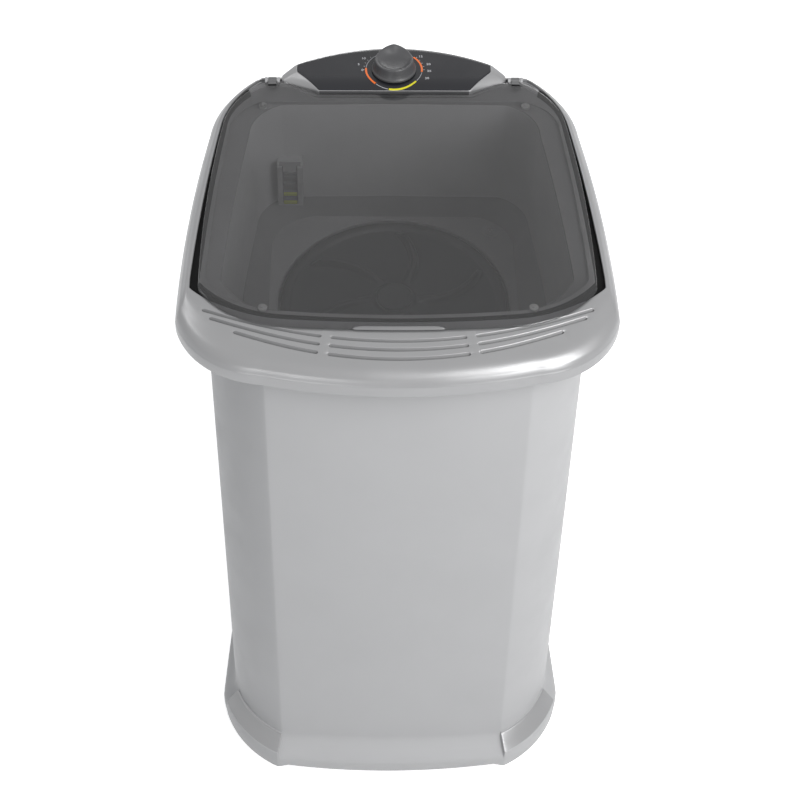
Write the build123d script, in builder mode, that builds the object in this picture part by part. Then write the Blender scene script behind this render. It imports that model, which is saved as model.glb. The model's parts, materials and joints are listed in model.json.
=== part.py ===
# Semi-automatic washing machine with a smoked lid and a pulsator in the floor of its tub.
# Millimetres, +Z up, front towards -Y, origin on the floor under the middle of the outline.
import os
from math import cos, pi, radians, sin

from build123d import *

os.makedirs("parts", exist_ok=True)

# Overall sizes
width = 490.0
depth = 540.0
front = -depth / 2
half = width / 2

# Heights
foot_z = 1.5
arch_z = 6.0
pan_z = 11.0
skirt_z = 35.0
skirt_top_z = 57.0
bowl_top_z = 505.0
bowl_floor_z = 446.0
frame_z = 760.0
cabinet_top_z = frame_z + 4.0
flange_top_z = frame_z + 15.0
crest_z = frame_z + 36.0
ledge_z = frame_z + 31.0
lid_top_z = frame_z + 40.0
pod_top_z = frame_z + 46.0
pod_bottom_z = frame_z - 12.0

# Walls
cabinet_wall = 3.0
frame_wall = 3.0
tub_wall = 2.5
pod_wall = 3.0
lid_wall = 3.4

# How far pieces stand in from the rim's outline
side_overhang = 33.0
skirt_overhang = 15.0
cabinet_front = 25.0
skirt_front = 4.0
rim_rear = depth - 30.0
cabinet_rear = rim_rear - 26.0
skirt_rear = rim_rear - 12.0
lid_rear = rim_rear - 28.5
opening_rear = rim_rear - 58.0
cabinet_flange = 8.0

# Lid and its gaps
lid_gap = 11.0
lid_lip = 7.0
lip_gap = 0.6
lid_skirt_gap = 1.5
lid_skirt_wall = 2.5
pod_gap = 3.0
hinge_x = half - 97.0
hinge_back = lid_rear + 5.5
hinge_z = lid_top_z - 2.5
hinge_pin_r = 2.2
hinge_play = 0.05
knuckle_r = 4.5
knuckle_half = 5.0
arm_back = hinge_back - 13.0
bracket_gap = 1.0
bracket_wall = 3.0
lid_open = 100.0
bumper_r = 5.0
bumper_x = half - 97.0
bumper_back = 98.5
rear_bumper_back = lid_rear - 41.5
seat_gap = 0.3

# Louvre slots: each row's depth at the centre, how much it falls back at slot_bulge_x, and its end
slot_width = 4.2
slot_rows = ((27.0, 23.0, half - 69), (38.5, 21.5, half - 41), (50.0, 20.0, half - 31))
slot_bar_x = 79.0
slot_bar_half = 5.0
slot_bulge_x = 139.0

# Control pod, fascia and knob
pod_front = depth - 79.0
pod_half = half - 153.0
cheek_half = half - 126.0
cheek_back = depth - 47.0
pod_corner_back = depth - 33.0
pod_base_half = half - 108.0
pod_base_back = depth - 52.0
pod_base_corner = depth - 41.0
pod_lip = 2.0
fascia_t = 2.5
fascia_gap = 0.2
dial_back = depth - 42.0
knob_r = 27.0
knob_top_r = 22.5
knob_height = 16.0
knob_dish = 4.0
pointer_height = 5.5
crest_half = 19.0
knob_gap = 0.5
timer_shaft_r = 3.0
timer_size = 54.0
timer_height = 28.0
timer_screw_x = 20.0

# Pulsator and its drive
drive_back = (90.0 + opening_rear) / 2 + 29.0
pulsator_r = 139.0
pulsator_gap = 3.0
recess_depth = 10.0
pulsator_rim = 8.0
pulsator_dome = 12.0
fin_count = 6
fin_height = 14.0
drive_shaft_r = 8.0
running_fit = 0.05
bush_wall = 4.0
bush_length = 25.0
barrel_wall = 10.0
barrel_length = 84.0
housing_flange_r = 68.0
housing_flange_t = 6.0
housing_pitch_r = 58.0
collar_r = 30.0
gasket_t = 2.0
seal_depth = 10.0
seal_wall = 8.0
boss_r = 8.0
large_pulley_r = 105.0
small_pulley_r = 22.0
groove_depth = 5.0
belt_gap = 0.3
belt_height = 7.0
belt_t = 4.5
pulley_height = 18.0
pulley_drop = 19.5
motor_back = 140.0
motor_r = 60.0
motor_wall = 2.0
motor_drop = 10.5
motor_height = 80.0
air_gap = 0.5
rotor_r = 31.0
motor_shaft_r = 6.0
motor_bearing_r = 14.0
motor_bearing_t = 9.0
plate_t = 3.0
plate_half = 110.0
motor_bolt_pitch_r = 51.0

# Screws: shank radius, head radius and head height
screw_r = 2.0
screw_head_r = 4.0
screw_head_t = 2.5
screw_play = 0.1

# Drain, gland and back cover
spigot_r = 10.0
hose_wall = 2.5
outlet_z = 110.0
cover_half = half - 127.0
cover_bottom_z = 150.0
cover_top_z = 400.0
cover_t = 2.5
cover_edge = 12.0
gland_x = 105.0 - half
gland_r = 9.0


def at(x, back):
    """A point in plan, given by how far it lies behind the rim's front."""
    return (x, front + back)


class Plan:
    """Half an outline seen from above, from the front centre round to the rear centre."""

    def __init__(self, front_mid, edge, corner, side, flank, haunch, rear_corner, rear_edge, rear_mid):
        self.front_mid = front_mid
        self.edge = edge
        self.corner = corner
        self.side = side
        self.flank = flank
        self.haunch = haunch
        self.rear_corner = rear_corner
        self.rear_edge = rear_edge
        self.rear_mid = rear_mid

    def inset(self, ahead, beside, behind):
        """The same outline drawn in by a distance at the front, the sides and the rear."""
        def shift(point, x, y):
            return (point[0] - x, point[1] + y)
        return Plan(
            self.front_mid + ahead,
            shift(self.edge, 0.3 * ahead, 0.875 * ahead),
            shift(self.corner, 0.75 * beside + 0.25 * ahead, 0.75 * ahead),
            shift(self.side, beside, 0.44 * ahead),
            shift(self.flank, beside, 0),
            shift(self.haunch, beside, -0.3 * behind),
            shift(self.rear_corner, 0.75 * beside, -0.75 * behind),
            shift(self.rear_edge, 0.3 * beside, -0.95 * behind),
            self.rear_mid - behind)

    def draw(self):
        """Draw the outline as a face in the sketch that is open."""
        with BuildLine() as outline:
            TangentArc(at(0, self.front_mid), at(*self.edge), tangent=(1, 0))
            ThreePointArc(at(*self.edge), at(*self.corner), at(*self.side))
            ThreePointArc(at(*self.side), at(*self.flank), at(*self.haunch))
            ThreePointArc(at(*self.haunch), at(*self.rear_corner), at(*self.rear_edge))
            Line(at(*self.rear_edge), at(0, self.rear_mid))
            mirror(about=Plane.YZ)
        make_face(outline.edges())


def wall(amount):
    """Arguments that draw a plan in by the same amount all round."""
    return (amount, amount, amount)


rim = Plan(
    0.0, (half - 95, 18), (half - 33, 45), (half, 100), (half - 5.3, rim_rear - 265),
    (half - 23, rim_rear - 105), (half - 37, rim_rear - 55), (half - 85, rim_rear - 4), rim_rear)
body_half = half - side_overhang
body = Plan(
    cabinet_front, (body_half - 65, cabinet_front + 8), (body_half - 25, cabinet_front + 42),
    (body_half, cabinet_front + 95), (body_half - 10, cabinet_rear - 214),
    (body_half - 24, cabinet_rear - 64),
    (body_half - 36, cabinet_rear - 20), (body_half - 72, cabinet_rear - 2), cabinet_rear)
skirt_half = half - skirt_overhang
skirt = Plan(
    skirt_front, (skirt_half - 76, skirt_front + 9), (skirt_half - 27, skirt_front + 50),
    (skirt_half, skirt_front + 114), (skirt_half - 10, skirt_rear - 228),
    (skirt_half - 24, skirt_rear - 68),
    (skirt_half - 37, skirt_rear - 20), (skirt_half - 78, skirt_rear - 2), skirt_rear)
lid_half = half - 25.0
lid_plan = Plan(
    71.0, (lid_half - 95, 75.5), (lid_half - 40, 92), (lid_half, 125), (lid_half - 1.5, lid_rear - 236.5),
    (lid_half - 15.5, lid_rear - 76.5), (lid_half - 33, lid_rear - 29.5), (lid_half - 62, lid_rear - 0.5),
    lid_rear)
opening = Plan(
    90.0, (lid_half - 95, 96), (lid_half - 42, 112), (lid_half - 8, 145), (lid_half - 13, opening_rear - 192),
    (lid_half - 24, opening_rear - 57), (lid_half - 36, opening_rear - 20),
    (lid_half - 65, opening_rear - 2), opening_rear)
collar_half = body_half - cabinet_flange - cabinet_wall - tub_wall - 2.5
collar = Plan(
    92.0, (collar_half - 72, 97), (collar_half - 28, 114), (collar_half, 150),
    (collar_half - 9, opening_rear - 182), (collar_half - 23, opening_rear - 57),
    (collar_half - 34, opening_rear - 22), (collar_half - 61, opening_rear - 2), opening_rear)
bowl_top = Plan(
    100.0, (collar_half - 81, 106), (collar_half - 35, 120), (collar_half - 5, 155),
    (collar_half - 14, opening_rear - 177), (collar_half - 28, opening_rear - 57),
    (collar_half - 38, opening_rear - 24), (collar_half - 64, opening_rear - 4), opening_rear - 2)
pulsator_well = pulsator_r + pulsator_gap
bowl_floor = Plan(
    drive_back - pulsator_well - 6, (90, drive_back - pulsator_well - 5),
    (133, drive_back - 132), (pulsator_well + 9, drive_back - 85),
    (pulsator_well + 10, drive_back), (pulsator_well + 9, drive_back + 85),
    (136, drive_back + 130), (95, drive_back + pulsator_well + 5), drive_back + pulsator_well + 6)


drain_x = bowl_floor.rear_corner[0] - 12
drain_back = bowl_floor.rear_mid - 24
outlet_x = drain_x


def prism(plan, low, high, mode=Mode.ADD):
    """A straight block of a plan between two heights."""
    with BuildSketch(Plane.XY.offset(low)) as sketch:
        plan.draw()
    extrude(sketch.sketch, amount=high - low, mode=mode)


def stack(levels, mode=Mode.ADD):
    """A ruled body through plans at rising heights."""
    sections = []
    for level, plan in levels:
        with BuildSketch(Plane.XY.offset(level)) as sketch:
            plan.draw()
        sections.append(sketch.sketch.face())
    loft(sections, ruled=True, mode=mode)


def rod(x, back, low, high, radius, mode=Mode.ADD):
    """An upright cylinder between two heights."""
    with BuildSketch(Plane.XY.offset(low)) as sketch:
        with Locations(at(x, back)):
            Circle(radius)
    extrude(sketch.sketch, amount=high - low, mode=mode)


def slab(x_low, x_high, back_low, back_high, low, high, mode=Mode.ADD):
    """A square block between two corners in plan and two heights."""
    with BuildSketch(Plane.XY.offset(low)) as sketch:
        with Locations(at((x_low + x_high) / 2, (back_low + back_high) / 2)):
            Rectangle(x_high - x_low, back_high - back_low)
    extrude(sketch.sketch, amount=high - low, mode=mode)


def across(z, back, x_low, x_high, radius, mode=Mode.ADD):
    """A cylinder lying along X."""
    with BuildSketch(Plane.YZ.offset(x_low)) as sketch:
        with Locations((front + back, z)):
            Circle(radius)
    extrude(sketch.sketch, amount=x_high - x_low, mode=mode)


def behind(x, z, back_low, back_high, radius, mode=Mode.ADD):
    """A cylinder lying along Y, between two depths."""
    with BuildSketch(Plane((0, front + back_low, 0), x_dir=(1, 0, 0), z_dir=(0, 1, 0))) as sketch:
        with Locations((x, -z)):
            Circle(radius)
    extrude(sketch.sketch, amount=back_high - back_low, mode=mode)


def upright_screws(spots, head_z, tip_z):
    """Pan-head screws with their heads outside head_z and their tips at tip_z."""
    outward = 1 if head_z > tip_z else -1
    for x, back in spots:
        rod(x, back, min(head_z, tip_z), max(head_z, tip_z), screw_r)
        crown = head_z + outward * screw_head_t
        rod(x, back, min(head_z, crown), max(head_z, crown), screw_head_r)
        socket = crown - outward * screw_head_t / 2
        rod(x, back, min(socket, crown), max(socket, crown), screw_head_r / 2.5, Mode.SUBTRACT)


def rear_screws(spots, head_back, tip_back):
    """Pan-head screws driven in from behind, along Y."""
    for x, z in spots:
        behind(x, z, tip_back, head_back, screw_r)
        behind(x, z, head_back, head_back + screw_head_t, screw_head_r)
        behind(x, z, head_back + screw_head_t / 2, head_back + screw_head_t,
               screw_head_r / 2.5, Mode.SUBTRACT)


def finish(builder, label):
    """Name a finished piece and write it."""
    builder.part.label = label
    export_step(builder.part, "parts/" + label + ".step")


# Cabinet: skirt with flared corner feet, a flange under the top frame and a service opening
frame_screw_spots = []
frame_screw_inset = cabinet_wall + screw_head_r + 2.0
frame_screw_x = body_half - 112.0
for side_sign in (-1, 1):
    frame_screw_spots += [(side_sign * frame_screw_x, cabinet_front + frame_screw_inset + 2),
                          (side_sign * (body_half - frame_screw_inset), 150),
                          (side_sign * (body_half - frame_screw_inset - 15.5), cabinet_rear - 134),
                          (side_sign * frame_screw_x, cabinet_rear - frame_screw_inset - 1)]
pan_screw_spots = [(sign * x, back) for sign in (-1, 1)
                   for x, back in ((100, 20), (skirt_half - 16, 200),
                                   (skirt_half - 28, skirt_rear - 118), (100, skirt_rear - 15))]
cover_screw_spots = [(sign * x, z) for sign in (-1, 1) for x, z in (
    (cover_half + cover_edge / 2, cover_bottom_z + 10), (cover_half + cover_edge / 2, cover_top_z - 10),
    (cover_half + cover_edge / 2, (cover_bottom_z + cover_top_z) / 2))]
cable_notch_x = -20.0
cable_r = 3.5
flange_inner = body.inset(*wall(cabinet_wall + cabinet_flange))
pan_ledge = 12.0

with BuildPart() as cabinet:
    prism(body, skirt_top_z, cabinet_top_z)
    stack([(skirt_z, skirt), (skirt_top_z, body)])
    prism(skirt, foot_z, skirt_z)
    # Hollow, with a ledge for the base pan and a flange for the top frame
    inner_body = body.inset(*wall(cabinet_wall))
    inner_skirt = skirt.inset(*wall(cabinet_wall))
    prism(inner_body, skirt_top_z, cabinet_top_z - cabinet_wall, Mode.SUBTRACT)
    stack([(skirt_z - 2, inner_skirt), (skirt_top_z, inner_body)], Mode.SUBTRACT)
    prism(skirt.inset(*wall(cabinet_wall + pan_ledge)), foot_z, skirt_z - 2, Mode.SUBTRACT)
    prism(inner_skirt, foot_z, pan_z, Mode.SUBTRACT)
    prism(inner_skirt, pan_z + cabinet_wall, skirt_z - 2, Mode.SUBTRACT)
    prism(flange_inner, cabinet_top_z - 2 * cabinet_wall, cabinet_top_z, Mode.SUBTRACT)
    # The skirt is lifted clear of the floor between the corner feet
    slab(-(skirt_half - 82), skirt_half - 82, skirt_front - 5, skirt_rear + 5, 0, arch_z, Mode.SUBTRACT)
    slab(-skirt_half - 5, skirt_half + 5, 175, skirt_rear - 118, 0, arch_z, Mode.SUBTRACT)
    # Screw holes in the flange and the ledge
    for x, back in frame_screw_spots:
        rod(x, back, cabinet_top_z - 2 * cabinet_wall, cabinet_top_z, screw_r + screw_play, Mode.SUBTRACT)
    for x, back in pan_screw_spots:
        rod(x, back, pan_z, pan_z + cabinet_wall, screw_r + screw_play, Mode.SUBTRACT)
    # Service opening, drain and cord holes, and a notch for the cable in the rear wall
    slab(-cover_half, cover_half, cabinet_rear - 20, cabinet_rear + 5,
         cover_bottom_z, cover_top_z, Mode.SUBTRACT)
    for x, z in cover_screw_spots:
        behind(x, z, cabinet_rear - 10, cabinet_rear + 2, screw_r + screw_play, Mode.SUBTRACT)
    behind(outlet_x, outlet_z, cabinet_rear - 10, cabinet_rear + 2, spigot_r + 1, Mode.SUBTRACT)
    behind(gland_x, outlet_z, cabinet_rear - 10, cabinet_rear + 2, gland_r, Mode.SUBTRACT)
    slab(cable_notch_x - 2 * cable_r, cable_notch_x + 2 * cable_r, cabinet_rear - 25, cabinet_rear + 5,
         cabinet_top_z - 20, cabinet_top_z, Mode.SUBTRACT)
finish(cabinet, "cabinet")

# Base pan: closes the bottom, with cooling slots, screwed up into the cabinet's ledge
pan_t = 3.0
pad_r = 16.0
pad_spots = [(sign * x, back) for sign in (-1, 1) for x, back in ((skirt_half - 62, 70), (skirt_half - 68, skirt_rear - 58))]
with BuildPart() as base_pan:
    prism(skirt.inset(*wall(cabinet_wall + 0.5)), pan_z - pan_t, pan_z)
    with BuildSketch(Plane.XY.offset(pan_z - pan_t)):
        with Locations(at(0, 260)):
            with GridLocations(60, 22, 4, 9):
                SlotOverall(44, 8)
    extrude(amount=pan_t, mode=Mode.SUBTRACT)
    for x, back in pan_screw_spots:
        rod(x, back, pan_z - pan_t, pan_z, screw_r + screw_play, Mode.SUBTRACT)
    for x, back in pad_spots:
        rod(x, back, pan_z - pan_t, pan_z, screw_r + screw_play, Mode.SUBTRACT)
finish(base_pan, "base_pan")

with BuildPart() as base_screws:
    upright_screws(pan_screw_spots, pan_z - pan_t, pan_z + 5)
finish(base_screws, "base_screws")

# Foot pads with a stub pressed through the base pan
with BuildPart() as foot_pads:
    for x, back in pad_spots:
        rod(x, back, 0, pan_z - pan_t, pad_r)
        rod(x, back, pan_z - pan_t, pan_z + 4, screw_r)
        rod(x, back, pan_z, pan_z + 4, screw_head_r)
        rod(x, back, 0, 1.5, pad_r / 3, Mode.SUBTRACT)
    chamfer(foot_pads.edges().group_by(Axis.Z)[0].filter_by(
        lambda edge: edge.radius > pad_r - 1), 1.2)
finish(foot_pads, "foot_pads")

# Back cover with cooling slots
with BuildPart() as back_cover:
    with BuildSketch(Plane((0, front + cabinet_rear, 0), x_dir=(1, 0, 0), z_dir=(0, 1, 0))):
        with Locations((0, -(cover_bottom_z + cover_top_z) / 2)):
            RectangleRounded(2 * (cover_half + cover_edge), cover_top_z - cover_bottom_z + 2 * cover_edge, 10)
    extrude(amount=cover_t)
    with BuildSketch(Plane((0, front + cabinet_rear, 0), x_dir=(1, 0, 0), z_dir=(0, 1, 0))):
        with Locations((0, -cover_top_z + 65)):
            with GridLocations(62, 12, 3, 8):
                SlotOverall(50, 5)
    extrude(amount=cover_t, mode=Mode.SUBTRACT)
    for x, z in cover_screw_spots:
        behind(x, z, cabinet_rear, cabinet_rear + cover_t, screw_r + screw_play, Mode.SUBTRACT)
    fillet(back_cover.faces().sort_by(Axis.Y)[-1].outer_wire().edges(), 1.5)
finish(back_cover, "back_cover")

with BuildPart() as cover_screws:
    rear_screws(cover_screw_spots, cabinet_rear + cover_t, cabinet_rear - cabinet_wall - 3)
finish(cover_screws, "cover_screws")

# Cord gland: a flanged bushing with a short tapered sleeve; the cord isn't part of this model
gland_flange = 3.0
gland_sleeve = 18.0
with BuildPart() as cord_gland:
    rear_wall_y = front + cabinet_rear
    with BuildSketch(Plane.XY.offset(outlet_z)):
        with BuildLine():
            Polyline((gland_x + 4, rear_wall_y - cabinet_wall - 3), (gland_x + gland_r, rear_wall_y - cabinet_wall - 3),
                     (gland_x + gland_r, rear_wall_y), (gland_x + 4 + gland_r, rear_wall_y),
                     (gland_x + 4 + gland_r, rear_wall_y + gland_flange),
                     (gland_x - 1 + gland_r, rear_wall_y + gland_flange),
                     (gland_x + 6, rear_wall_y + gland_sleeve),
                     (gland_x + 4, rear_wall_y + gland_sleeve), close=True)
        make_face()
    revolve(axis=Axis((gland_x, 0, outlet_z), (0, 1, 0)))
finish(cord_gland, "cord_gland")

# Drain outlet: flanged spigot through the rear wall
outlet_flange = 3.0
outlet_reach = 30.0
with BuildPart() as drain_outlet:
    with BuildSketch(Plane((0, front + cabinet_rear, 0), x_dir=(1, 0, 0), z_dir=(0, 1, 0))):
        with Locations((outlet_x, -outlet_z)):
            RectangleRounded(44, 44, 6)
    extrude(amount=outlet_flange)
    behind(outlet_x, outlet_z, cabinet_rear - 18, cabinet_rear, spigot_r)
    behind(outlet_x, outlet_z, cabinet_rear + outlet_flange, cabinet_rear + outlet_reach, spigot_r + 1)
    behind(outlet_x, outlet_z, cabinet_rear - 18, cabinet_rear + outlet_reach, spigot_r - 2, Mode.SUBTRACT)
    chamfer(drain_outlet.edges().group_by(Axis.Y)[-1], 0.8)
finish(drain_outlet, "drain_outlet")

# Top frame: rolled rim, louvre band, lid recess with its ledge, and the control pod's shell
roll = ((0, 0, 0), (0, 0, 0), (5, 2.5, 3), (13, 5, 6), (24, 7.5, 8), (64, 13, 12))
roll_z = (frame_z, flange_top_z, frame_z + 23, frame_z + 28, ledge_z, crest_z)
recess = Plan(
    lid_plan.front_mid + 5, (lid_plan.edge[0] + 5, lid_plan.edge[1] + 6),
    (lid_plan.corner[0] + 5, lid_plan.corner[1] + 6), (lid_half + lid_gap, 132),
    (lid_half + lid_gap - 6.5, lid_rear - 236.5), (lid_half + lid_gap - 23, lid_rear - 73.5),
    (lid_half + lid_gap - 38, lid_rear - 24.5), (lid_half - 57, lid_rear + 11), lid_rear + 12.5)
drain_arc_r = 248.0


def pod_outline(corner_x, front_back, corner_back, inset):
    """The pod's outline: straight front, slanting cheeks and a rear edge on one large arc."""
    rear_back = depth - inset
    half_front = pod_half - 0.4 * inset
    left = (corner_x - inset, corner_back)
    with BuildLine() as outline:
        Line(at(-half_front, pod_front + inset), at(half_front, pod_front + inset))
        Line(at(half_front, pod_front + inset), at(corner_x - inset, front_back + 0.5 * inset))
        Line(at(corner_x - inset, front_back + 0.5 * inset), at(*left))
        ThreePointArc(at(*left), at(0, rear_back), at(-left[0], left[1]))
        Line(at(-left[0], left[1]), at(-(corner_x - inset), front_back + 0.5 * inset))
        Line(at(-(corner_x - inset), front_back + 0.5 * inset), at(-half_front, pod_front + inset))
    make_face(outline.edges())


deck_z = pod_top_z - fascia_t
deck_under_z = deck_z - pod_wall
pod_split = cabinet_rear + 2.5
frame_boss_r = 4.2
web_inner = body.inset(*wall(cabinet_wall + cabinet_flange + 1))

with BuildPart() as top_frame:
    stack([(z, rim.inset(*step)) for z, step in zip(roll_z, roll)])
    inner = [(frame_z + 4 + frame_wall, rim.inset(*wall(frame_wall)))]
    for z, (ahead, beside, rearward) in list(zip(roll_z, roll))[1:]:
        inner.append((z - (0 if z == flange_top_z else frame_wall),
                      rim.inset(ahead + frame_wall, beside + frame_wall, rearward + frame_wall)))
    stack(inner, Mode.SUBTRACT)
    prism(rim.inset(*wall(frame_wall)), frame_z, cabinet_top_z, Mode.SUBTRACT)
    prism(web_inner, frame_z, ledge_z - frame_wall, Mode.SUBTRACT)
    # Screw bosses on the web
    for x, back in frame_screw_spots:
        rod(x, back, cabinet_top_z, cabinet_top_z + 14, frame_boss_r)
        rod(x, back, cabinet_top_z, cabinet_top_z + 12, screw_r, Mode.SUBTRACT)
    # Recess wall and ledge
    prism(recess.inset(-frame_wall, -frame_wall, -frame_wall), ledge_z - frame_wall, crest_z - 0.1)
    prism(recess, ledge_z, crest_z, Mode.SUBTRACT)
    prism(opening, ledge_z - frame_wall, ledge_z, Mode.SUBTRACT)
    # Pod shell: block above the web, overhanging part lower down, facetted crown
    with BuildSketch(Plane.XY.offset(cabinet_top_z + frame_wall)):
        pod_outline(pod_base_half, pod_base_back, pod_base_corner, 0)
    extrude(amount=crest_z - cabinet_top_z - frame_wall)
    with BuildSketch(Plane.XY.offset(pod_bottom_z)):
        pod_outline(pod_base_half, pod_base_back, pod_base_corner, 0)
        with Locations(at(0, pod_split - 50)):
            Rectangle(width, 100, mode=Mode.SUBTRACT)
    extrude(amount=cabinet_top_z + frame_wall - pod_bottom_z)
    with BuildSketch(Plane.XY.offset(crest_z)):
        pod_outline(pod_base_half, pod_base_back, pod_base_corner, 0)
    with BuildSketch(Plane.XY.offset(pod_top_z)):
        pod_outline(cheek_half + 1, cheek_back, pod_corner_back, 0)
    loft(ruled=True)
    # Pod interior, open downwards
    with BuildSketch(Plane.XY.offset(pod_bottom_z)):
        pod_outline(pod_base_half, pod_base_back, pod_base_corner, pod_wall)
        with Locations(at(0, pod_split - 51)):
            Rectangle(width, 102, mode=Mode.SUBTRACT)
    extrude(amount=crest_z - pod_wall - pod_bottom_z, mode=Mode.SUBTRACT)
    with BuildSketch(Plane.XY.offset(cabinet_top_z + frame_wall)):
        pod_outline(pod_base_half, pod_base_back, pod_base_corner, pod_wall)
    extrude(amount=crest_z - pod_wall - cabinet_top_z - frame_wall, mode=Mode.SUBTRACT)
    with BuildSketch(Plane.XY.offset(crest_z - pod_wall)):
        pod_outline(cheek_half + 1, cheek_back, pod_corner_back, 2 * pod_wall)
    extrude(amount=deck_under_z - crest_z + pod_wall, mode=Mode.SUBTRACT)
    # Seat for the fascia, timer shaft hole and timer screw holes
    with BuildSketch(Plane.XY.offset(deck_z)):
        pod_outline(cheek_half + 1, cheek_back, pod_corner_back, pod_lip)
    extrude(amount=fascia_t, mode=Mode.SUBTRACT)
    rod(0, dial_back, deck_under_z, deck_z, timer_shaft_r + 1.5, Mode.SUBTRACT)
    for sign in (-1, 1):
        rod(sign * timer_screw_x, dial_back, deck_under_z, deck_z, screw_r + screw_play, Mode.SUBTRACT)
        rod(sign * timer_screw_x, dial_back, deck_z - 1.6, deck_z, screw_head_r + 0.3, Mode.SUBTRACT)
    # Louvre slots in three groups of three rows
    for row_back, row_fall, row_end in slot_rows:
        def row_point(x):
            return at(x, row_back + row_fall * (x / slot_bulge_x) ** 2)
        with BuildSketch(Plane.XY.offset(ledge_z - 10)):
            inner_x = slot_bar_x - slot_bar_half
            with BuildLine():
                ThreePointArc(row_point(-inner_x), row_point(0), row_point(inner_x))
            trace(line_width=slot_width)
            for sign in (-1, 1):
                outer_x = slot_bar_x + slot_bar_half
                with BuildLine():
                    ThreePointArc(row_point(sign * outer_x), row_point(sign * (outer_x + row_end) / 2),
                                  row_point(sign * row_end))
                trace(line_width=slot_width)
        extrude(amount=20, mode=Mode.SUBTRACT)
finish(top_frame, "top_frame")

with BuildPart() as frame_screws:
    upright_screws(frame_screw_spots, cabinet_top_z - cabinet_wall, cabinet_top_z + 10)
finish(frame_screws, "frame_screws")

# Pod cover: closes the overhanging pod from below
cover_screw_back = depth - 18.0
with BuildPart() as pod_cover:
    with BuildSketch(Plane.XY.offset(pod_bottom_z)):
        pod_outline(pod_base_half, pod_base_back, pod_base_corner, pod_wall + 0.2)
        with Locations(at(0, pod_split - 50)):
            Rectangle(width, 100, mode=Mode.SUBTRACT)
    extrude(amount=pod_wall)
    # Two lugs reach up inside the pod's rear wall
    for sign in (-1, 1):
        lug_x = sign * (pod_base_half - 67)
        slab(lug_x - 8, lug_x + 8, cover_screw_back - 6, cover_screw_back - 2,
             pod_bottom_z, pod_bottom_z + 20)
finish(pod_cover, "pod_cover")

# Fascia
with BuildPart() as fascia:
    with BuildSketch(Plane.XY.offset(deck_z)):
        pod_outline(cheek_half + 1, cheek_back, pod_corner_back, pod_lip + fascia_gap)
    extrude(amount=fascia_t)
    rod(0, dial_back, deck_z, pod_top_z, timer_shaft_r + 1.5, Mode.SUBTRACT)
    fillet(fascia.faces().sort_by(Axis.Z)[-1].outer_wire().edges(), 0.6)
finish(fascia, "fascia")

# Timer under the deck
timer_top_z = deck_under_z
with BuildPart() as timer_body:
    with BuildSketch(Plane.XY.offset(timer_top_z - timer_height)):
        with Locations(at(0, dial_back)):
            RectangleRounded(timer_size, timer_size, 8)
    extrude(amount=timer_height)
    rod(0, dial_back, timer_top_z - 12, timer_top_z, timer_shaft_r + running_fit, Mode.SUBTRACT)
    for sign in (-1, 1):
        rod(sign * timer_screw_x, dial_back, timer_top_z - 8, timer_top_z, screw_r, Mode.SUBTRACT)
        slab(sign * 12 - 3, sign * 12 + 3, dial_back + 10, dial_back + 11,
             timer_top_z - timer_height - 6, timer_top_z - timer_height)
finish(timer_body, "timer_body")

with BuildPart() as timer_screws:
    for sign in (-1, 1):
        rod(sign * timer_screw_x, dial_back, timer_top_z - 6, deck_z - 1.6, screw_r)
        rod(sign * timer_screw_x, dial_back, deck_z - 1.6, deck_z, screw_head_r)
finish(timer_screws, "timer_screws")

knob_low_z = pod_top_z + knob_gap
knob_top_z = knob_low_z + knob_height
with BuildPart() as timer_shaft:
    rod(0, dial_back, timer_top_z - 11.5, knob_low_z + 9, timer_shaft_r)
finish(timer_shaft, "timer_shaft")

# Knob: tapered skirt, dished top with a crest along the rear of the rim, highest at its middle
with BuildPart() as knob_crest:
    with BuildSketch(Plane.XZ.offset(-(front + dial_back))):
        with BuildLine():
            Polyline((knob_top_r - 7.5, knob_top_z - knob_dish), (knob_top_r - 0.4, knob_top_z - knob_dish),
                     (knob_top_r - 0.4, knob_top_z), (knob_top_r - 1.4, knob_top_z + pointer_height),
                     (knob_top_r - 4.5, knob_top_z + pointer_height), close=True)
        make_face()
    revolve(axis=Axis((0, front + dial_back, 0), (0, 0, 1)))
    with BuildSketch(Plane.XZ.offset(-(front + dial_back))):
        with BuildLine():
            Polyline((-crest_half, knob_top_z - knob_dish), (-crest_half, knob_top_z),
                     (-1.5, knob_top_z + pointer_height), (1.5, knob_top_z + pointer_height),
                     (crest_half, knob_top_z), (crest_half, knob_top_z - knob_dish), close=True)
        make_face()
    extrude(amount=-knob_r, mode=Mode.INTERSECT)
with BuildPart() as knob:
    with BuildSketch(Plane.XZ.offset(-(front + dial_back))):
        with BuildLine():
            Polyline((0, knob_low_z), (knob_r, knob_low_z), (knob_r, knob_low_z + 3),
                     (knob_top_r, knob_top_z), (knob_top_r - 2.5, knob_top_z),
                     (knob_top_r - 7, knob_top_z - knob_dish), (0, knob_top_z - knob_dish - 0.5), close=True)
        make_face()
    revolve(axis=Axis((0, front + dial_back, 0), (0, 0, 1)))
    add(knob_crest.part)
    with BuildSketch(Plane.XY.offset(knob_low_z)):
        with Locations(at(0, dial_back)):
            Circle(knob_r - 2.5)
            Circle(timer_shaft_r + 3, mode=Mode.SUBTRACT)
    extrude(amount=5, mode=Mode.SUBTRACT)
    rod(0, dial_back, knob_low_z, knob_low_z + 9, timer_shaft_r, Mode.SUBTRACT)
finish(knob, "knob")

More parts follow.
